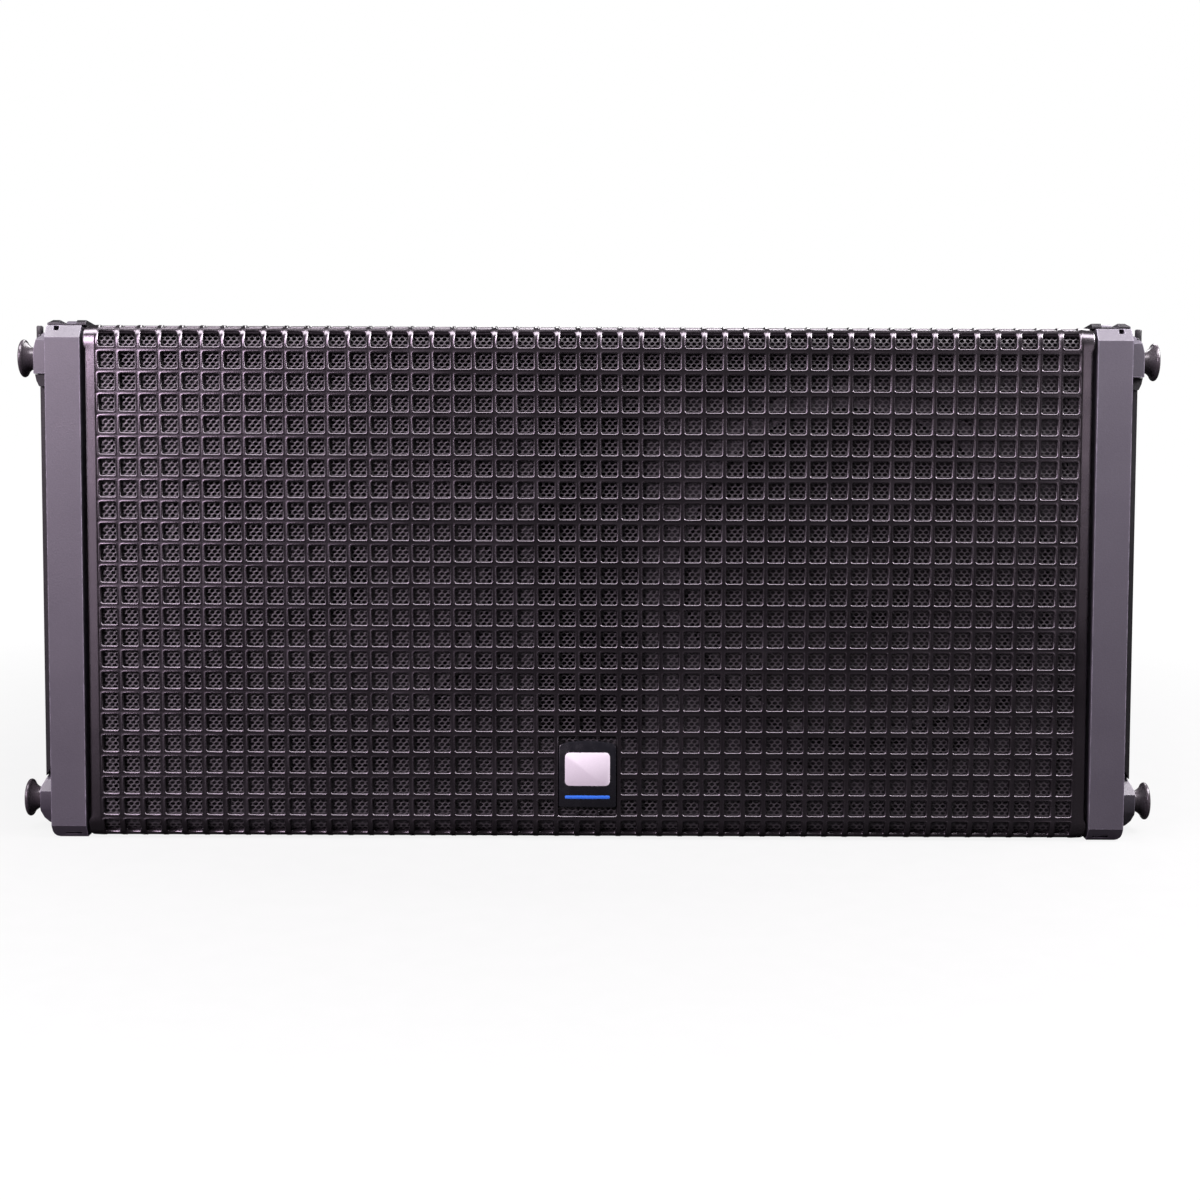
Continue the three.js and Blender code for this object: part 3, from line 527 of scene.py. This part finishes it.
def badge_window(shape):
    """The opening that the badge sits in: three columns and four rows made one."""
    wide, tall = len(BADGE_COLUMNS), len(BADGE_ROWS)
    x = column_centre(sum(BADGE_COLUMNS) / wide)
    s = row_centre(sum(BADGE_ROWS) / tall)
    half_x, half_s = wide * PITCH_X / 2, tall * PITCH_S / 2

    def stops(count, pitch):
        values = []
        for i in range(count):
            middle = (i - (count - 1) / 2) * pitch
            values += [middle - pitch / 2, middle - CORNER_LINE, middle + CORNER_LINE]
        return values[1:]

    across, upward = stops(wide, PITCH_X), stops(tall, PITCH_S)
    outer = [(half_x, v) for v in upward] + [(half_x, half_s)]
    outer += [(u, half_s) for u in reversed(across)] + [(-half_x, half_s)]
    outer += [(-half_x, v) for v in reversed(upward)] + [(-half_x, -half_s)]
    outer += [(u, -half_s) for u in across] + [(half_x, -half_s)]

    def inner(grow):
        w, h, corner = half_x - WINDOW_RIM_X + grow, half_s - WINDOW_RIM_S + grow, rounded_by(grow)
        k = corner * (1 - math.sqrt(0.5))
        points = []
        for u, v in outer:
            at_corner = abs(u) == half_x and abs(v) == half_s
            reach = (w - k, h - k) if at_corner else (w, h)
            pu = math.copysign(reach[0], u) if abs(u) == half_x else max(corner - w, min(w - corner, u))
            pv = math.copysign(reach[1], v) if abs(v) == half_s else max(corner - h, min(h - corner, v))
            points.append((pu, pv))
        return points

    rings = [(outer, GROOVE)] + [(inner(grow), depth) for grow, depth in (*RIM, (WALL, SKIN))]
    add_rings(shape, rings, x, s)
    # the stubs of the bars that the opening cuts off, above and below the badge
    for u in (-PITCH_X / 2, PITCH_X / 2):
        for sign, length in ((-1, 2.2), (1, 3.6)):
            outline = filleted([(-1.1, 0), (1.1, 0), (1.1, length), (-1.1, length)], 0.3, 2)
            level = s - sign * (half_s - WINDOW_RIM_S) - sign * 0.6
            place = facing(-1, x + u, SKIN - 0.2, level, up=sign)
            shape.add(*slab(outline, 0, SKIN - 0.4, 0.4, place))


def border_width(s):
    """Half width of the grille's rim, wider at its ends and rounded at their corners."""
    z = on_grille(0, s)[2]
    step = min(1, max(0, (abs(s) - EAR_FROM) / EAR_BLEND))
    width = BORDER + (EAR_BORDER - BORDER) * step * step * (3 - 2 * step)
    over = abs(z) - (GRILLE_TOP - CORNER)
    if over > 0:
        width -= CORNER - math.sqrt(max(0, CORNER * CORNER - min(over, CORNER * 0.97) ** 2))
    return width


LIP_STEPS, LIP_DROP = (0, 0.35, 1.2), 0.25


def grille():
    """The moulded grille: square holes in a rolled sheet with a plain rim all round."""
    shape = Shape()
    stations = []
    edge = PITCH_X * COLUMNS / 2
    for row in range(-1, ROWS + 1):
        s = row_centre(row)
        extra = row_is_rolled(row)
        between = [SIDE_STOP, -SIDE_STOP] if extra else []
        stations += [s + cut for cut in (PITCH_S / 2, CORNER_LINE, *between, -CORNER_LINE)]
        for column in range(COLUMNS):
            if not (column in BADGE_COLUMNS and row in BADGE_ROWS):
                tile(shape, column_centre(column), s, extra, row in (-1, ROWS))
    badge_window(shape)
    bottom = row_centre(ROWS) - PITCH_S / 2
    stations.append(bottom)
    tops = [path_end(1) - back for back in LIP_STEPS]
    lows = [back - path_end(-1) for back in reversed(LIP_STEPS)]
    stations = tops + stations + lows
    # the plain rim at each side, lofted through every station
    for side in (-1, 1):
        verts = []
        for s in stations:
            w = border_width(s)
            lip = LIP_DROP if s in (stations[0], stations[-1]) else 0.0
            face = [(edge, GROOVE), (edge + 0.2, 0.04), (edge + 0.5, 0), (edge + 0.9, 0.03)]
            face += [(w - 1.0, 0.24), (w - 0.5, 0.34)]
            section = [(x, depth + lip) for x, depth in face]
            section += [(w - 0.12, 0.6), (w, 1.2), (w, SKIN), (edge, SKIN)]
            verts += [on_grille(side * x, s, depth) for x, depth in section]
        count = len(section)
        shape.add(verts, joined(len(stations), count, closed=False) + ends(len(verts), count))
    # the lips along the top and the bottom, between the rims
    columns = []
    for column in range(COLUMNS):
        x = column_centre(column)
        columns += [x - PITCH_X / 2, x - CORNER_LINE, x + CORNER_LINE]
    columns.append(edge)
    for sign, start in ((1, row_centre(-1) + PITCH_S / 2), (-1, bottom)):
        last, middle, first = tops if sign > 0 else lows[::-1]
        profile = [(start, GROOVE), (first, GROOVE), (middle, GROOVE), (last, GROOVE + LIP_DROP)]
        profile += [(last, SKIN), (middle, SKIN), (first, SKIN), (start, SKIN)]
        verts = [on_grille(x, s, depth) for x in columns for s, depth in profile]
        shape.add(verts, joined(len(columns), len(profile), closed=False))
    mesh = shape.mesh("front_grille_moulding", 0.004)
    finished("front_grille_moulding", mesh, "grille_plastic", "cabinet", ("front_grille",), None, 50)


# ---------------------------------------------------------------- the expanded mesh
HOLE_PITCH_X, HOLE_PITCH_S = 3.6, 4.32
MESH_DEPTH = 3.5
MESH_HALF_WIDTH = 298.5
MESH_HOLE = ((1.55, 0.0), (0.64, 0.98), (-0.64, 0.98), (-1.55, 0.0), (-0.64, -0.98), (0.64, -0.98))
RELIEF = (0.0, -0.08, -0.08, 0.0, 0.08, 0.08)


def expanded_mesh():
    """Expanded steel: lens-shaped holes in staggered rows, each strand tilted like a slat."""
    bend = (ROLL - MESH_DEPTH) * END_ANGLE
    reach_s = flat_half(1) + bend + 6.0
    columns = int(MESH_HALF_WIDTH / HOLE_PITCH_X)
    rows = int(reach_s / (HOLE_PITCH_S / 2))
    verts, faces, first = [], [], {}

    def inner(x, s, depth):
        """Follows the grille's roll a set depth inside it, keeping arc length on the sheet."""
        limit = flat_half(s)
        flat = min(abs(s), limit)
        over = abs(s) - flat
        if over <= bend:
            outer = flat + over * ROLL / (ROLL - MESH_DEPTH)
        else:
            outer = limit + ROLL * END_ANGLE + over - bend
        return on_grille(x, math.copysign(outer, s), MESH_DEPTH + depth)

    for row in range(-rows, rows + 1):
        s = row * HOLE_PITCH_S / 2
        shift = 0.5 if row % 2 else 0.0
        for column in range(-columns, columns + (0 if shift else 1)):
            x = (column + shift) * HOLE_PITCH_X
            first[row, 2 * column + (1 if shift else 0)] = len(verts)
            verts += [inner(x + u, s + v, d) for (u, v), d in zip(MESH_HOLE, RELIEF)]
    for (row, column), a in first.items():
        upper_right, upper_left = first.get((row + 1, column + 1)), first.get((row + 1, column - 1))
        right, lower_right = first.get((row, column + 2)), first.get((row - 1, column + 1))
        if upper_right is not None:
            faces.append((a + 1, a, upper_right + 4, upper_right + 3))
        if upper_left is not None:
            faces.append((a + 3, a + 2, upper_left, upper_left + 5))
        if right is not None and upper_right is not None:
            faces.append((a, right + 3, upper_right + 5, upper_right + 4))
        if right is not None and lower_right is not None:
            faces.append((a, lower_right + 2, lower_right + 1, right + 3))
    mesh = Shape().add(verts, faces).mesh("grille_expanded_mesh")
    finished("grille_expanded_mesh", mesh, "mesh_black", "cabinet", ("grille_mesh",), None, 25)


# ---------------------------------------------------------------- the badge
def badge():
    """A plain generic badge: a dark arched plate, one blank silver panel and a thin blue line."""
    half, low, high = 17.3, -134.6, -94.2
    shoulder = high - half * 0.22
    crown = [(half * math.cos(t), shoulder + (high - shoulder) * math.sin(t) ** 0.9)
             for t in (math.pi * i / 14 for i in range(15))]
    outline = [(-half + 0.8, low), (half - 0.8, low), (half, low + 0.8), *crown, (-half, low + 0.8)]
    upright = facing(-1)
    plate = Shape().add(*slab(outline, -2.2, 1.1, 0.5, upright))
    plate.add(*slab([(-4, -120), (4, -120), (4, -110), (-4, -110)], -4.2, -2.0, 0.2, upright))
    finished("badge_plate_body", plate.mesh("badge_plate_body"), "badge_black", "cabinet", ("badge_plate",))
    panel = filleted([(-13.6, -121.5), (13.6, -121.5), (13.6, -101.2), (-13.6, -101.2)], 3.2, 6)
    silver = Shape().add(*slab(panel, 1.0, 1.18, 0.08, upright))
    finished("badge_panel", silver.mesh("badge_panel"), "badge_black", "cabinet", (), "badge_silver")
    line = filleted([(-13.6, -129.4), (13.6, -129.4), (13.6, -127.4), (-13.6, -127.4)], 0.9, 4)
    blue = Shape().add(*slab(line, 1.0, 1.16, 0.06, upright))
    finished("badge_line", blue.mesh("badge_line"), "badge_black", "cabinet", (), "badge_blue")


# ---------------------------------------------------------------- rigging
LINK_Y = 28.0
PIN_LEVELS = {"top": 136.1, "bottom": -134.4}
BOSS_OUTER = 336.3
COLLAR_X, PIN_END = 318.6, 343.0
HINGE_Y = 447.0
SIDES = (("right", 1), ("left", -1))


def pin_profile(tip, collar, end):
    points = [(0, tip), (4, tip), (5, tip + 1), (5, collar), (8, collar), (8, collar + 1), (4, collar + 1)]
    points += [(4, end), (0, end)]
    return filleted(points, 0.35, 2, closed=False)


def knob_profile(start):
    """A trumpet: a narrow neck flaring to a rolled rim, with a slightly raised face inside it."""
    bore, neck, rim, curl, length = 4.4, 6.2, 11.5, 1.35, 10.6
    flare_steps, curl_steps = 14, 8
    top = start + length
    points = [(bore, start), (neck - 0.5, start), (neck, start + 0.5)]
    for i in range(1, flare_steps + 1):
        t = i / flare_steps
        points.append((neck + (rim - curl - neck) * t ** 2.2, start + 0.5 + (length - 4.4) * t))
    for i in range(curl_steps + 1):
        turn = math.pi * i / curl_steps
        points.append((rim - curl + curl * math.sin(turn), top - 2.55 - curl * math.cos(turn)))
    points += [(rim - 2.6, top - 1.05), (rim - 4.5, top - 0.65), (rim - 7.5, top - 0.2)]
    return points + [(3.2, top - 0.08), (0, top), (0, top - 3.5), (bore, top - 3.5), (bore, start)]


def pins_and_knobs():
    for side_name, side in SIDES:
        for where, z in PIN_LEVELS.items():
            body = f"lock_pin_{where}_{side_name}"
            place = along((side, 0, 0), 0, LINK_Y, z)
            pin = Shape().add(*lathe(pin_profile(305, COLLAR_X, PIN_END), place, 32))
            finished(f"plunger_{where}_{side_name}", pin.mesh("pin"), "pin_steel", body, (body,))
            knob = Shape().add(*lathe(knob_profile(BOSS_OUTER + 0.7), place, 56))
            node = f"pin_knob_{where}_{side_name}"
            name = f"pull_knob_{where}_{side_name}"
            finished(name, knob.mesh("knob"), "knob_dark", body, (node,), None, 35)
    place = along((1, 0, 0), 0, HINGE_Y, -92)
    pin = Shape().add(*lathe(pin_profile(-11, 13.6, 44.7), place, 32))
    finished("rear_plunger", pin.mesh("rear_plunger"), "pin_steel", "rear_lock_pin", ("rear_lock_pin",))
    knob = Shape().add(*lathe(knob_profile(38.7), place, 56)).mesh("rear_pull_knob")
    finished("rear_pull_knob", knob, "knob_dark", "rear_lock_pin", ("rear_pin_knob",), None, 35)


def coil_springs():
    """The return springs: wound wire filling the box of each pull pin's spring."""
    turns, steps, around, wire, clearance = 5, 22, 8, 0.00085, 0.0003
    for joint in frame["joints"]:
        if not joint["name"].endswith("_pull"):
            continue
        pin = joint["name"][:-len("_pull")]
        node = pin.replace("lock_pin", "pin_spring")
        low, high = (Vector(corner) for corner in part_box(node))
        centre, reach = (low + high) / 2, (high.z - low.z) / 2 - wire
        verts = []
        for i in range(turns * steps + 1):
            turn = 2 * math.pi * i / steps
            share = i / (turns * steps)
            x = low.x + wire + (high.x - low.x - 2 * wire) * share
            out = Vector((0, math.cos(turn), math.sin(turn)))
            for j in range(around):
                lean = 2 * math.pi * j / around
                ring = out * (reach + wire * math.cos(lean)) + Vector((wire * math.sin(lean), 0, 0))
                verts.append(Vector((x, centre.y, centre.z)) + ring)
        faces = joined(turns * steps + 1, around) + ends(len(verts), around)
        mesh = bpy.data.meshes.new("coil")
        mesh.from_pydata([tuple(v) for v in verts], [], faces)
        piece = finished(f"coil_{node}", mesh, "pin_steel", "cabinet", (node,), None, 50)
        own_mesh(piece)


def screw(shape, place, radius, height):
    """A low button head with a hexagon socket half as wide as the head."""
    key = radius * 0.5
    profile = [(0, 0), (radius, 0), (radius, height * 0.35), (radius * 0.92, height * 0.7)]
    profile += [(radius * 0.72, height * 0.94), (key + radius * 0.12, height), (key, height - 0.05)]
    profile += [(key, height * 0.25), (0, height * 0.2)]
    shape.add(*lathe(profile, place, 24, hexed=(6, 7)))


def side_hardware():
    for side_name, side in SIDES:
        def at(x, y, z, axis=(1, 0, 0)):
            return along((side * axis[0], axis[1], axis[2]), side * x, y, z)

        screws = Shape()
        for y in (19.6, 42.0):
            screw(screws, at(333.0, y, 149.0, (0.86, 0, 0.51)), 1.5, 0.9)
        for y in (70, 235, 395):
            for z in (-1, 1):
                level = z * (HALF_HEIGHT - 14 - y * math.tan(WEDGE))
                screw(screws, at(334.0, y, level), 4.2, 1.9)
        finished(f"panel_screws_{side_name}", screws.mesh("screws"), "steel_black", "cabinet")
        collar = Shape()
        for z in PIN_LEVELS.values():
            ring = [(4.6, -0.5), (8.0, -0.5), (8.0, 0.25), (7.6, 0.5), (4.9, 0.5), (4.6, 0.3), (4.6, -0.5)]
            collar.add(*lathe(ring, at(BOSS_OUTER, LINK_Y, z), 40))
        finished(f"boss_collars_{side_name}", collar.mesh("collars"), "pin_steel", "cabinet")
        peg = [(0, 146.6), (2.05, 146.6), (2.05, 155.2), (1.6, 155.8), (0, 155.8)]
        stop = Shape().add(*lathe(peg, along((0, 0, 1), side * 334.8, 26, 0), 28)).mesh("stop_pin")
        finished(f"stop_pin_{side_name}", stop, "pin_steel", "cabinet", (), "steel_black")
        # the stop pin's slot is not cut: a thin dark slab in the rubber finish stands in front of the pin as
        # painted shade of the slot's opening
        slot = filleted([(-1.05, 150.9), (1.05, 150.9), (1.05, 155.5), (-1.05, 155.5)], 0.5, 3)
        slot_shade = Shape().add(*slab(slot, 0, 1.0, 0.1, facing(1, side * 334.9, 23.7))).mesh("stop_slot_shade")
        finished(f"stop_slot_shade_{side_name}", slot_shade, "pin_steel", "cabinet", (), "surround_rubber")


def side_parts():
    for side_name, _ in SIDES:
        softened(f"casting_{side_name}", f"side_frame_{side_name}", "cast_frame", "cabinet", 0.7)
        softened(f"cover_{side_name}", f"side_panel_{side_name}", "panel_black", "cabinet", 1.2)
        softened(f"grip_cup_{side_name}", f"handle_cup_{side_name}", "panel_black", "cabinet", 0.9)
        softened(f"guide_{side_name}", f"arm_guide_{side_name}", "steel_black", "cabinet", 0.9)
        body = f"link_arm_{side_name}"
        softened(f"link_bar_{side_name}", body, "steel_black", body, 0.6, material="cast_frame")


# ---------------------------------------------------------------- the back
def tube(points, radius, steps):
    """A round bar along points, closed at both ends."""
    verts = []
    path = [Vector(p) for p in points]
    for i, here in enumerate(path):
        ahead = (path[min(i + 1, len(path) - 1)] - path[max(i - 1, 0)]).normalized()
        up = Vector((0, 0, 1))
        side = ahead.cross(up).normalized()
        for step in range(steps):
            turn = 2 * math.pi * step / steps
            verts.append(here + radius * (math.cos(turn) * side + math.sin(turn) * up))
    return verts, joined(len(path), steps) + ends(len(verts), steps)


HANDLE_X, HANDLE_Z, HANDLE_REACH = 165, 62, 65
PAD_HALF, PAD_SCREW = 16, 11.6


def back_handles():
    """A round bar on two screwed pads at each side of the back."""
    for side_name, side in SIDES:
        middle = HANDLE_X * side
        bar = [(-HANDLE_REACH, 428), (-HANDLE_REACH, 468), (HANDLE_REACH, 468), (HANDLE_REACH, 428)]
        path = filleted(bar, 18, 9, closed=False)
        shape = Shape().add(*tube([(middle + u, y, HANDLE_Z) for u, y in path], 8, 24))
        for x in (middle - HANDLE_REACH, middle + HANDLE_REACH):
            low, high = HANDLE_Z - PAD_HALF, HANDLE_Z + PAD_HALF
            left, right = x - PAD_HALF, x + PAD_HALF
            pad = filleted([(left, low), (right, low), (right, high), (left, high)], 5, 5)
            shape.add(*slab(pad, 0, 4.7, 1.0, facing(1, 0, 425.3)))
            skirt = [(0, 0), (12.4, 0), (12.0, 1.2), (9.6, 2.6), (8.4, 5), (8.02, 9), (0, 9)]
            shape.add(*lathe(skirt, along((0, 1, 0), x, 429.6, HANDLE_Z), 32))
            for dx in (-PAD_SCREW, PAD_SCREW):
                for dz in (-PAD_SCREW, PAD_SCREW):
                    screw(shape, along((0, 1, 0), x + dx, 429.9, HANDLE_Z + dz), 2.9, 1.7)
        node = f"rear_handle_{side_name}"
        finished(f"lift_bar_{side_name}", shape.mesh("lift_bar"), "steel_black", "cabinet", (node,))


SOCKET_Z, KEY_RADIUS = -61, 9.3


def sockets():
    """Round locking loudspeaker sockets: a flanged shell, a keyed well and a blue insert."""
    shell = filleted(
        [(0, 404), (12.5, 404), (12.5, 428.3), (17, 428.3), (17, 430.5), (15.2, 430.5), (15.2, 430.1),
         (13.0, 430.1), (13.0, 430.5), (9.5, 430.5), (9.5, 412), (0, 412)], 0.3, 2, closed=False,
    )
    insert = [(0, 411.6), (5.4, 411.6), (5.4, 425), (4.9, 425.6), (2.4, 425.6), (2.2, 425.2)]
    insert += [(2.2, 418), (0, 418)]
    block = filleted([(-1.2, -1.0), (1.2, -1.0), (1.2, 1.0), (-1.2, 1.0)], 0.3, 2)
    for name, x in (("in", 130), ("link", 190)):
        place = along((0, 1, 0), x, 0, SOCKET_Z)
        shape = Shape().add(*lathe(shell, place, 48))
        for key in range(3):
            turn = math.radians(90 + 120 * key)
            across, up = KEY_RADIUS * math.cos(turn), KEY_RADIUS * math.sin(turn)
            shape.add(*slab(block, 413, 427, 0.2, facing(1, x + across, 0, SOCKET_Z + up)))
        node = f"speaker_socket_{name}"
        finished(f"socket_{name}_shell", shape.mesh("socket"), "socket_plastic", "cabinet", (node,))
        core = Shape().add(*lathe(insert, place, 36)).mesh("core")
        finished(f"socket_{name}_core", core, "socket_plastic", "cabinet", (), "socket_blue")


def rear_parts():
    softened("hinge_bracket", "rear_bracket", "steel_black", "cabinet", 0.7)
    softened("splay_strap", "rear_splay_arm", "steel_black", "rear_splay_arm", 0.6, material="cast_frame")
    softened("hinge_bolt", "rear_pivot_bolt", "pin_steel", "cabinet", 0.5)
    softened("input_panel", "input_plate", "steel_black", "cabinet", 0.6)
    screws = Shape()
    for x in (98, 222):
        for z in (-89, -33):
            screw(screws, along((0, 1, 0), x, 427.9, z), 3.2, 1.8)
    for x in (-24, 24):
        for z in (-100, -56, 0, 56, 100):
            screw(screws, along((0, 1, 0), x, 429.9, z), 4.4, 2.4)
    finished("rear_screws", screws.mesh("rear_screws"), "pin_steel", "cabinet", (), "steel_black")
    softened("enclosure", "cabinet_shell", "box_paint", "cabinet", 1.6)


# ---------------------------------------------------------------- woofers and the inside
INSIDE = {
    "front_baffle": "box_paint", "waveguide": "panel_black", "lining_panel": "lining_foam",
    "input_lead": "surround_rubber", "crossover_board": "board_green", "crossover_inductor": "coil_copper",
    "crossover_capacitor": "capacitor_film", "compression_driver_upper": "magnet_ferrite",
    "compression_driver_lower": "magnet_ferrite",
}
WOOFER = {
    "woofer_basket": "steel_black", "woofer_magnet": "magnet_ferrite", "woofer_cone": "cone_paper",
    "woofer_surround": "surround_rubber", "woofer_spider": "cone_paper", "voice_coil": "coil_copper",
    "dust_cap": "cone_paper",
}


def inside_finishes():
    """The CAD solids behind the grille keep their shape and only get their finish."""
    finishes = dict(INSIDE)
    for side_name, _ in SIDES:
        finishes |= {f"{node}_{side_name}": finish for node, finish in WOOFER.items()}
    for node, finish in finishes.items():
        for material_slot in frame["nodes"][node].material_slots:
            material_slot.material = MATERIALS[finish]


inside_finishes()
grille()
expanded_mesh()
badge()
pins_and_knobs()
coil_springs()
side_parts()
side_hardware()
back_handles()
sockets()
rear_parts()


# ---------------------------------------------------------------- studio
FLOOR_HALF = 20
WORLD_LIGHT = 0.06


def floor(material):
    """The ground at the foot of the row frame, which takes no part in the model."""
    mesh = bpy.data.meshes.new("floor")
    corners = [(-FLOOR_HALF, -FLOOR_HALF, 0), (FLOOR_HALF, -FLOOR_HALF, 0)]
    corners += [(FLOOR_HALF, FLOOR_HALF, 0), (-FLOOR_HALF, FLOOR_HALF, 0)]
    mesh.from_pydata(corners, [], [(0, 1, 2, 3)])
    mesh.materials.append(material)
    ground = bpy.data.objects.new("floor", mesh)
    bpy.context.scene.collection.objects.link(ground)


def area(name, location, target, size, power, colour):
    data = bpy.data.lights.new(name, "AREA")
    data.shape, data.size, data.size_y, data.energy, data.color = "RECTANGLE", size[0], size[1], power, colour
    lamp = bpy.data.objects.new(name, data)
    lamp.location = location
    lamp.rotation_euler = (Vector(target) - Vector(location)).to_track_quat("-Z", "Y").to_euler()
    bpy.context.scene.collection.objects.link(lamp)


# the floor and the world are white to the camera and give the part little light of their own
floor_finish = surface(
    "pale_floor", (0.025, 0.025, 0.025), 0.9, spread=0.01, mottle=3, grain=60, bump=0.02, specular=0.0,
)
tree = floor_finish.node_tree
shader = tree.nodes["Principled BSDF"]
shader.inputs["Emission Color"].default_value = (1, 1, 1, 1)
# painted light: the floor's glow to the camera is 0.86 near the part, painted shade round its foot that lamp light
# and real shadows add to, and rises to full white by 0.9 m out, where the lamps fall off
away = node_of(tree, "ShaderNodeVectorMath", operation="LENGTH")
tree.links.new(node_of(tree, "ShaderNodeTexCoord").outputs["Object"], away.inputs[0])
painted_floor_glow = ramp(tree, away.outputs["Value"], 0.35, 0.9, 0.86, 1.0)
seen = node_of(tree, "ShaderNodeLightPath").outputs["Is Camera Ray"]
tree.links.new(times(tree, seen, painted_floor_glow), shader.inputs["Emission Strength"])
floor(floor_finish)

world = bpy.data.worlds.new("studio")
bpy.context.scene.world = world
world.use_nodes = True
tree = world.node_tree
background = tree.nodes["Background"]
background.inputs["Color"].default_value = (1, 1, 1, 1)
seen = node_of(tree, "ShaderNodeLightPath").outputs["Is Camera Ray"]
tree.links.new(ramp(tree, seen, 0, 1, WORLD_LIGHT, 1.0), background.inputs["Strength"])

area("softbox_above", (-0.05, -0.40, 0.80), (-0.03, -0.24, 0.2), (1.6, 0.26), 19, (1.0, 0.94, 1.0))
area("softbox_left", (-1.25, -0.50, 0.55), (-0.3, -0.22, 0.2), (0.6, 0.7), 7, (1.0, 0.90, 1.0))
area("key_front_left", (-0.95, -1.40, 0.82), (-0.3, -0.22, 0.28), (0.6, 0.6), 24, (1.0, 0.82, 1.0))
area("softbox_right", (0.78, -0.26, 0.66), (0.28, -0.22, 0.12), (0.5, 0.2), 17, (1.0, 0.94, 1.0))
area("glint_right", (0.86, -1.45, 0.42), (0.297, -0.22, 0.28), (0.36, 0.3), 0.8, (1.0, 0.86, 0.98))
area("glint_left", (-0.86, -1.45, 0.22), (-0.297, -0.22, 0.16), (0.36, 0.4), 0.8, (1.0, 0.86, 1.0))
area("softbox_back", (0.5, 1.5, 1.5), (0.0, 0.2, 0.15), (1.6, 0.8), 34, (1.0, 0.98, 1.0))

# the camera, in front of the grille and a little above its middle, in cabinet millimetres
CAMERA_AT = (7.5, -1150, 66.9)
YAW, PITCH, ROLL_ANGLE = math.radians(-0.014), math.radians(-3.766), math.radians(0.2)
FOCAL, SENSOR = 57.46, 36
forward = Vector((math.sin(YAW) * math.cos(PITCH), math.cos(YAW) * math.cos(PITCH), math.sin(PITCH)))
level_right = Vector((math.cos(YAW), -math.sin(YAW), 0))
level_up = level_right.cross(forward)
right = level_right * math.cos(ROLL_ANGLE) + level_up * math.sin(ROLL_ANGLE)
up = level_up * math.cos(ROLL_ANGLE) - level_right * math.sin(ROLL_ANGLE)
lens = bpy.data.cameras.new("camera")
lens.lens, lens.sensor_width, lens.clip_start, lens.clip_end = FOCAL, SENSOR, 0.02, 60
camera = bpy.data.objects.new("camera", lens)
basis = Matrix((right, up, -forward)).transposed().to_4x4()
camera.matrix_world = Matrix.Translation(PLACE @ Vector(CAMERA_AT)) @ TURN @ basis
bpy.context.scene.collection.objects.link(camera)
bpy.context.scene.camera = camera
bpy.context.scene.view_settings.view_transform = "Standard"
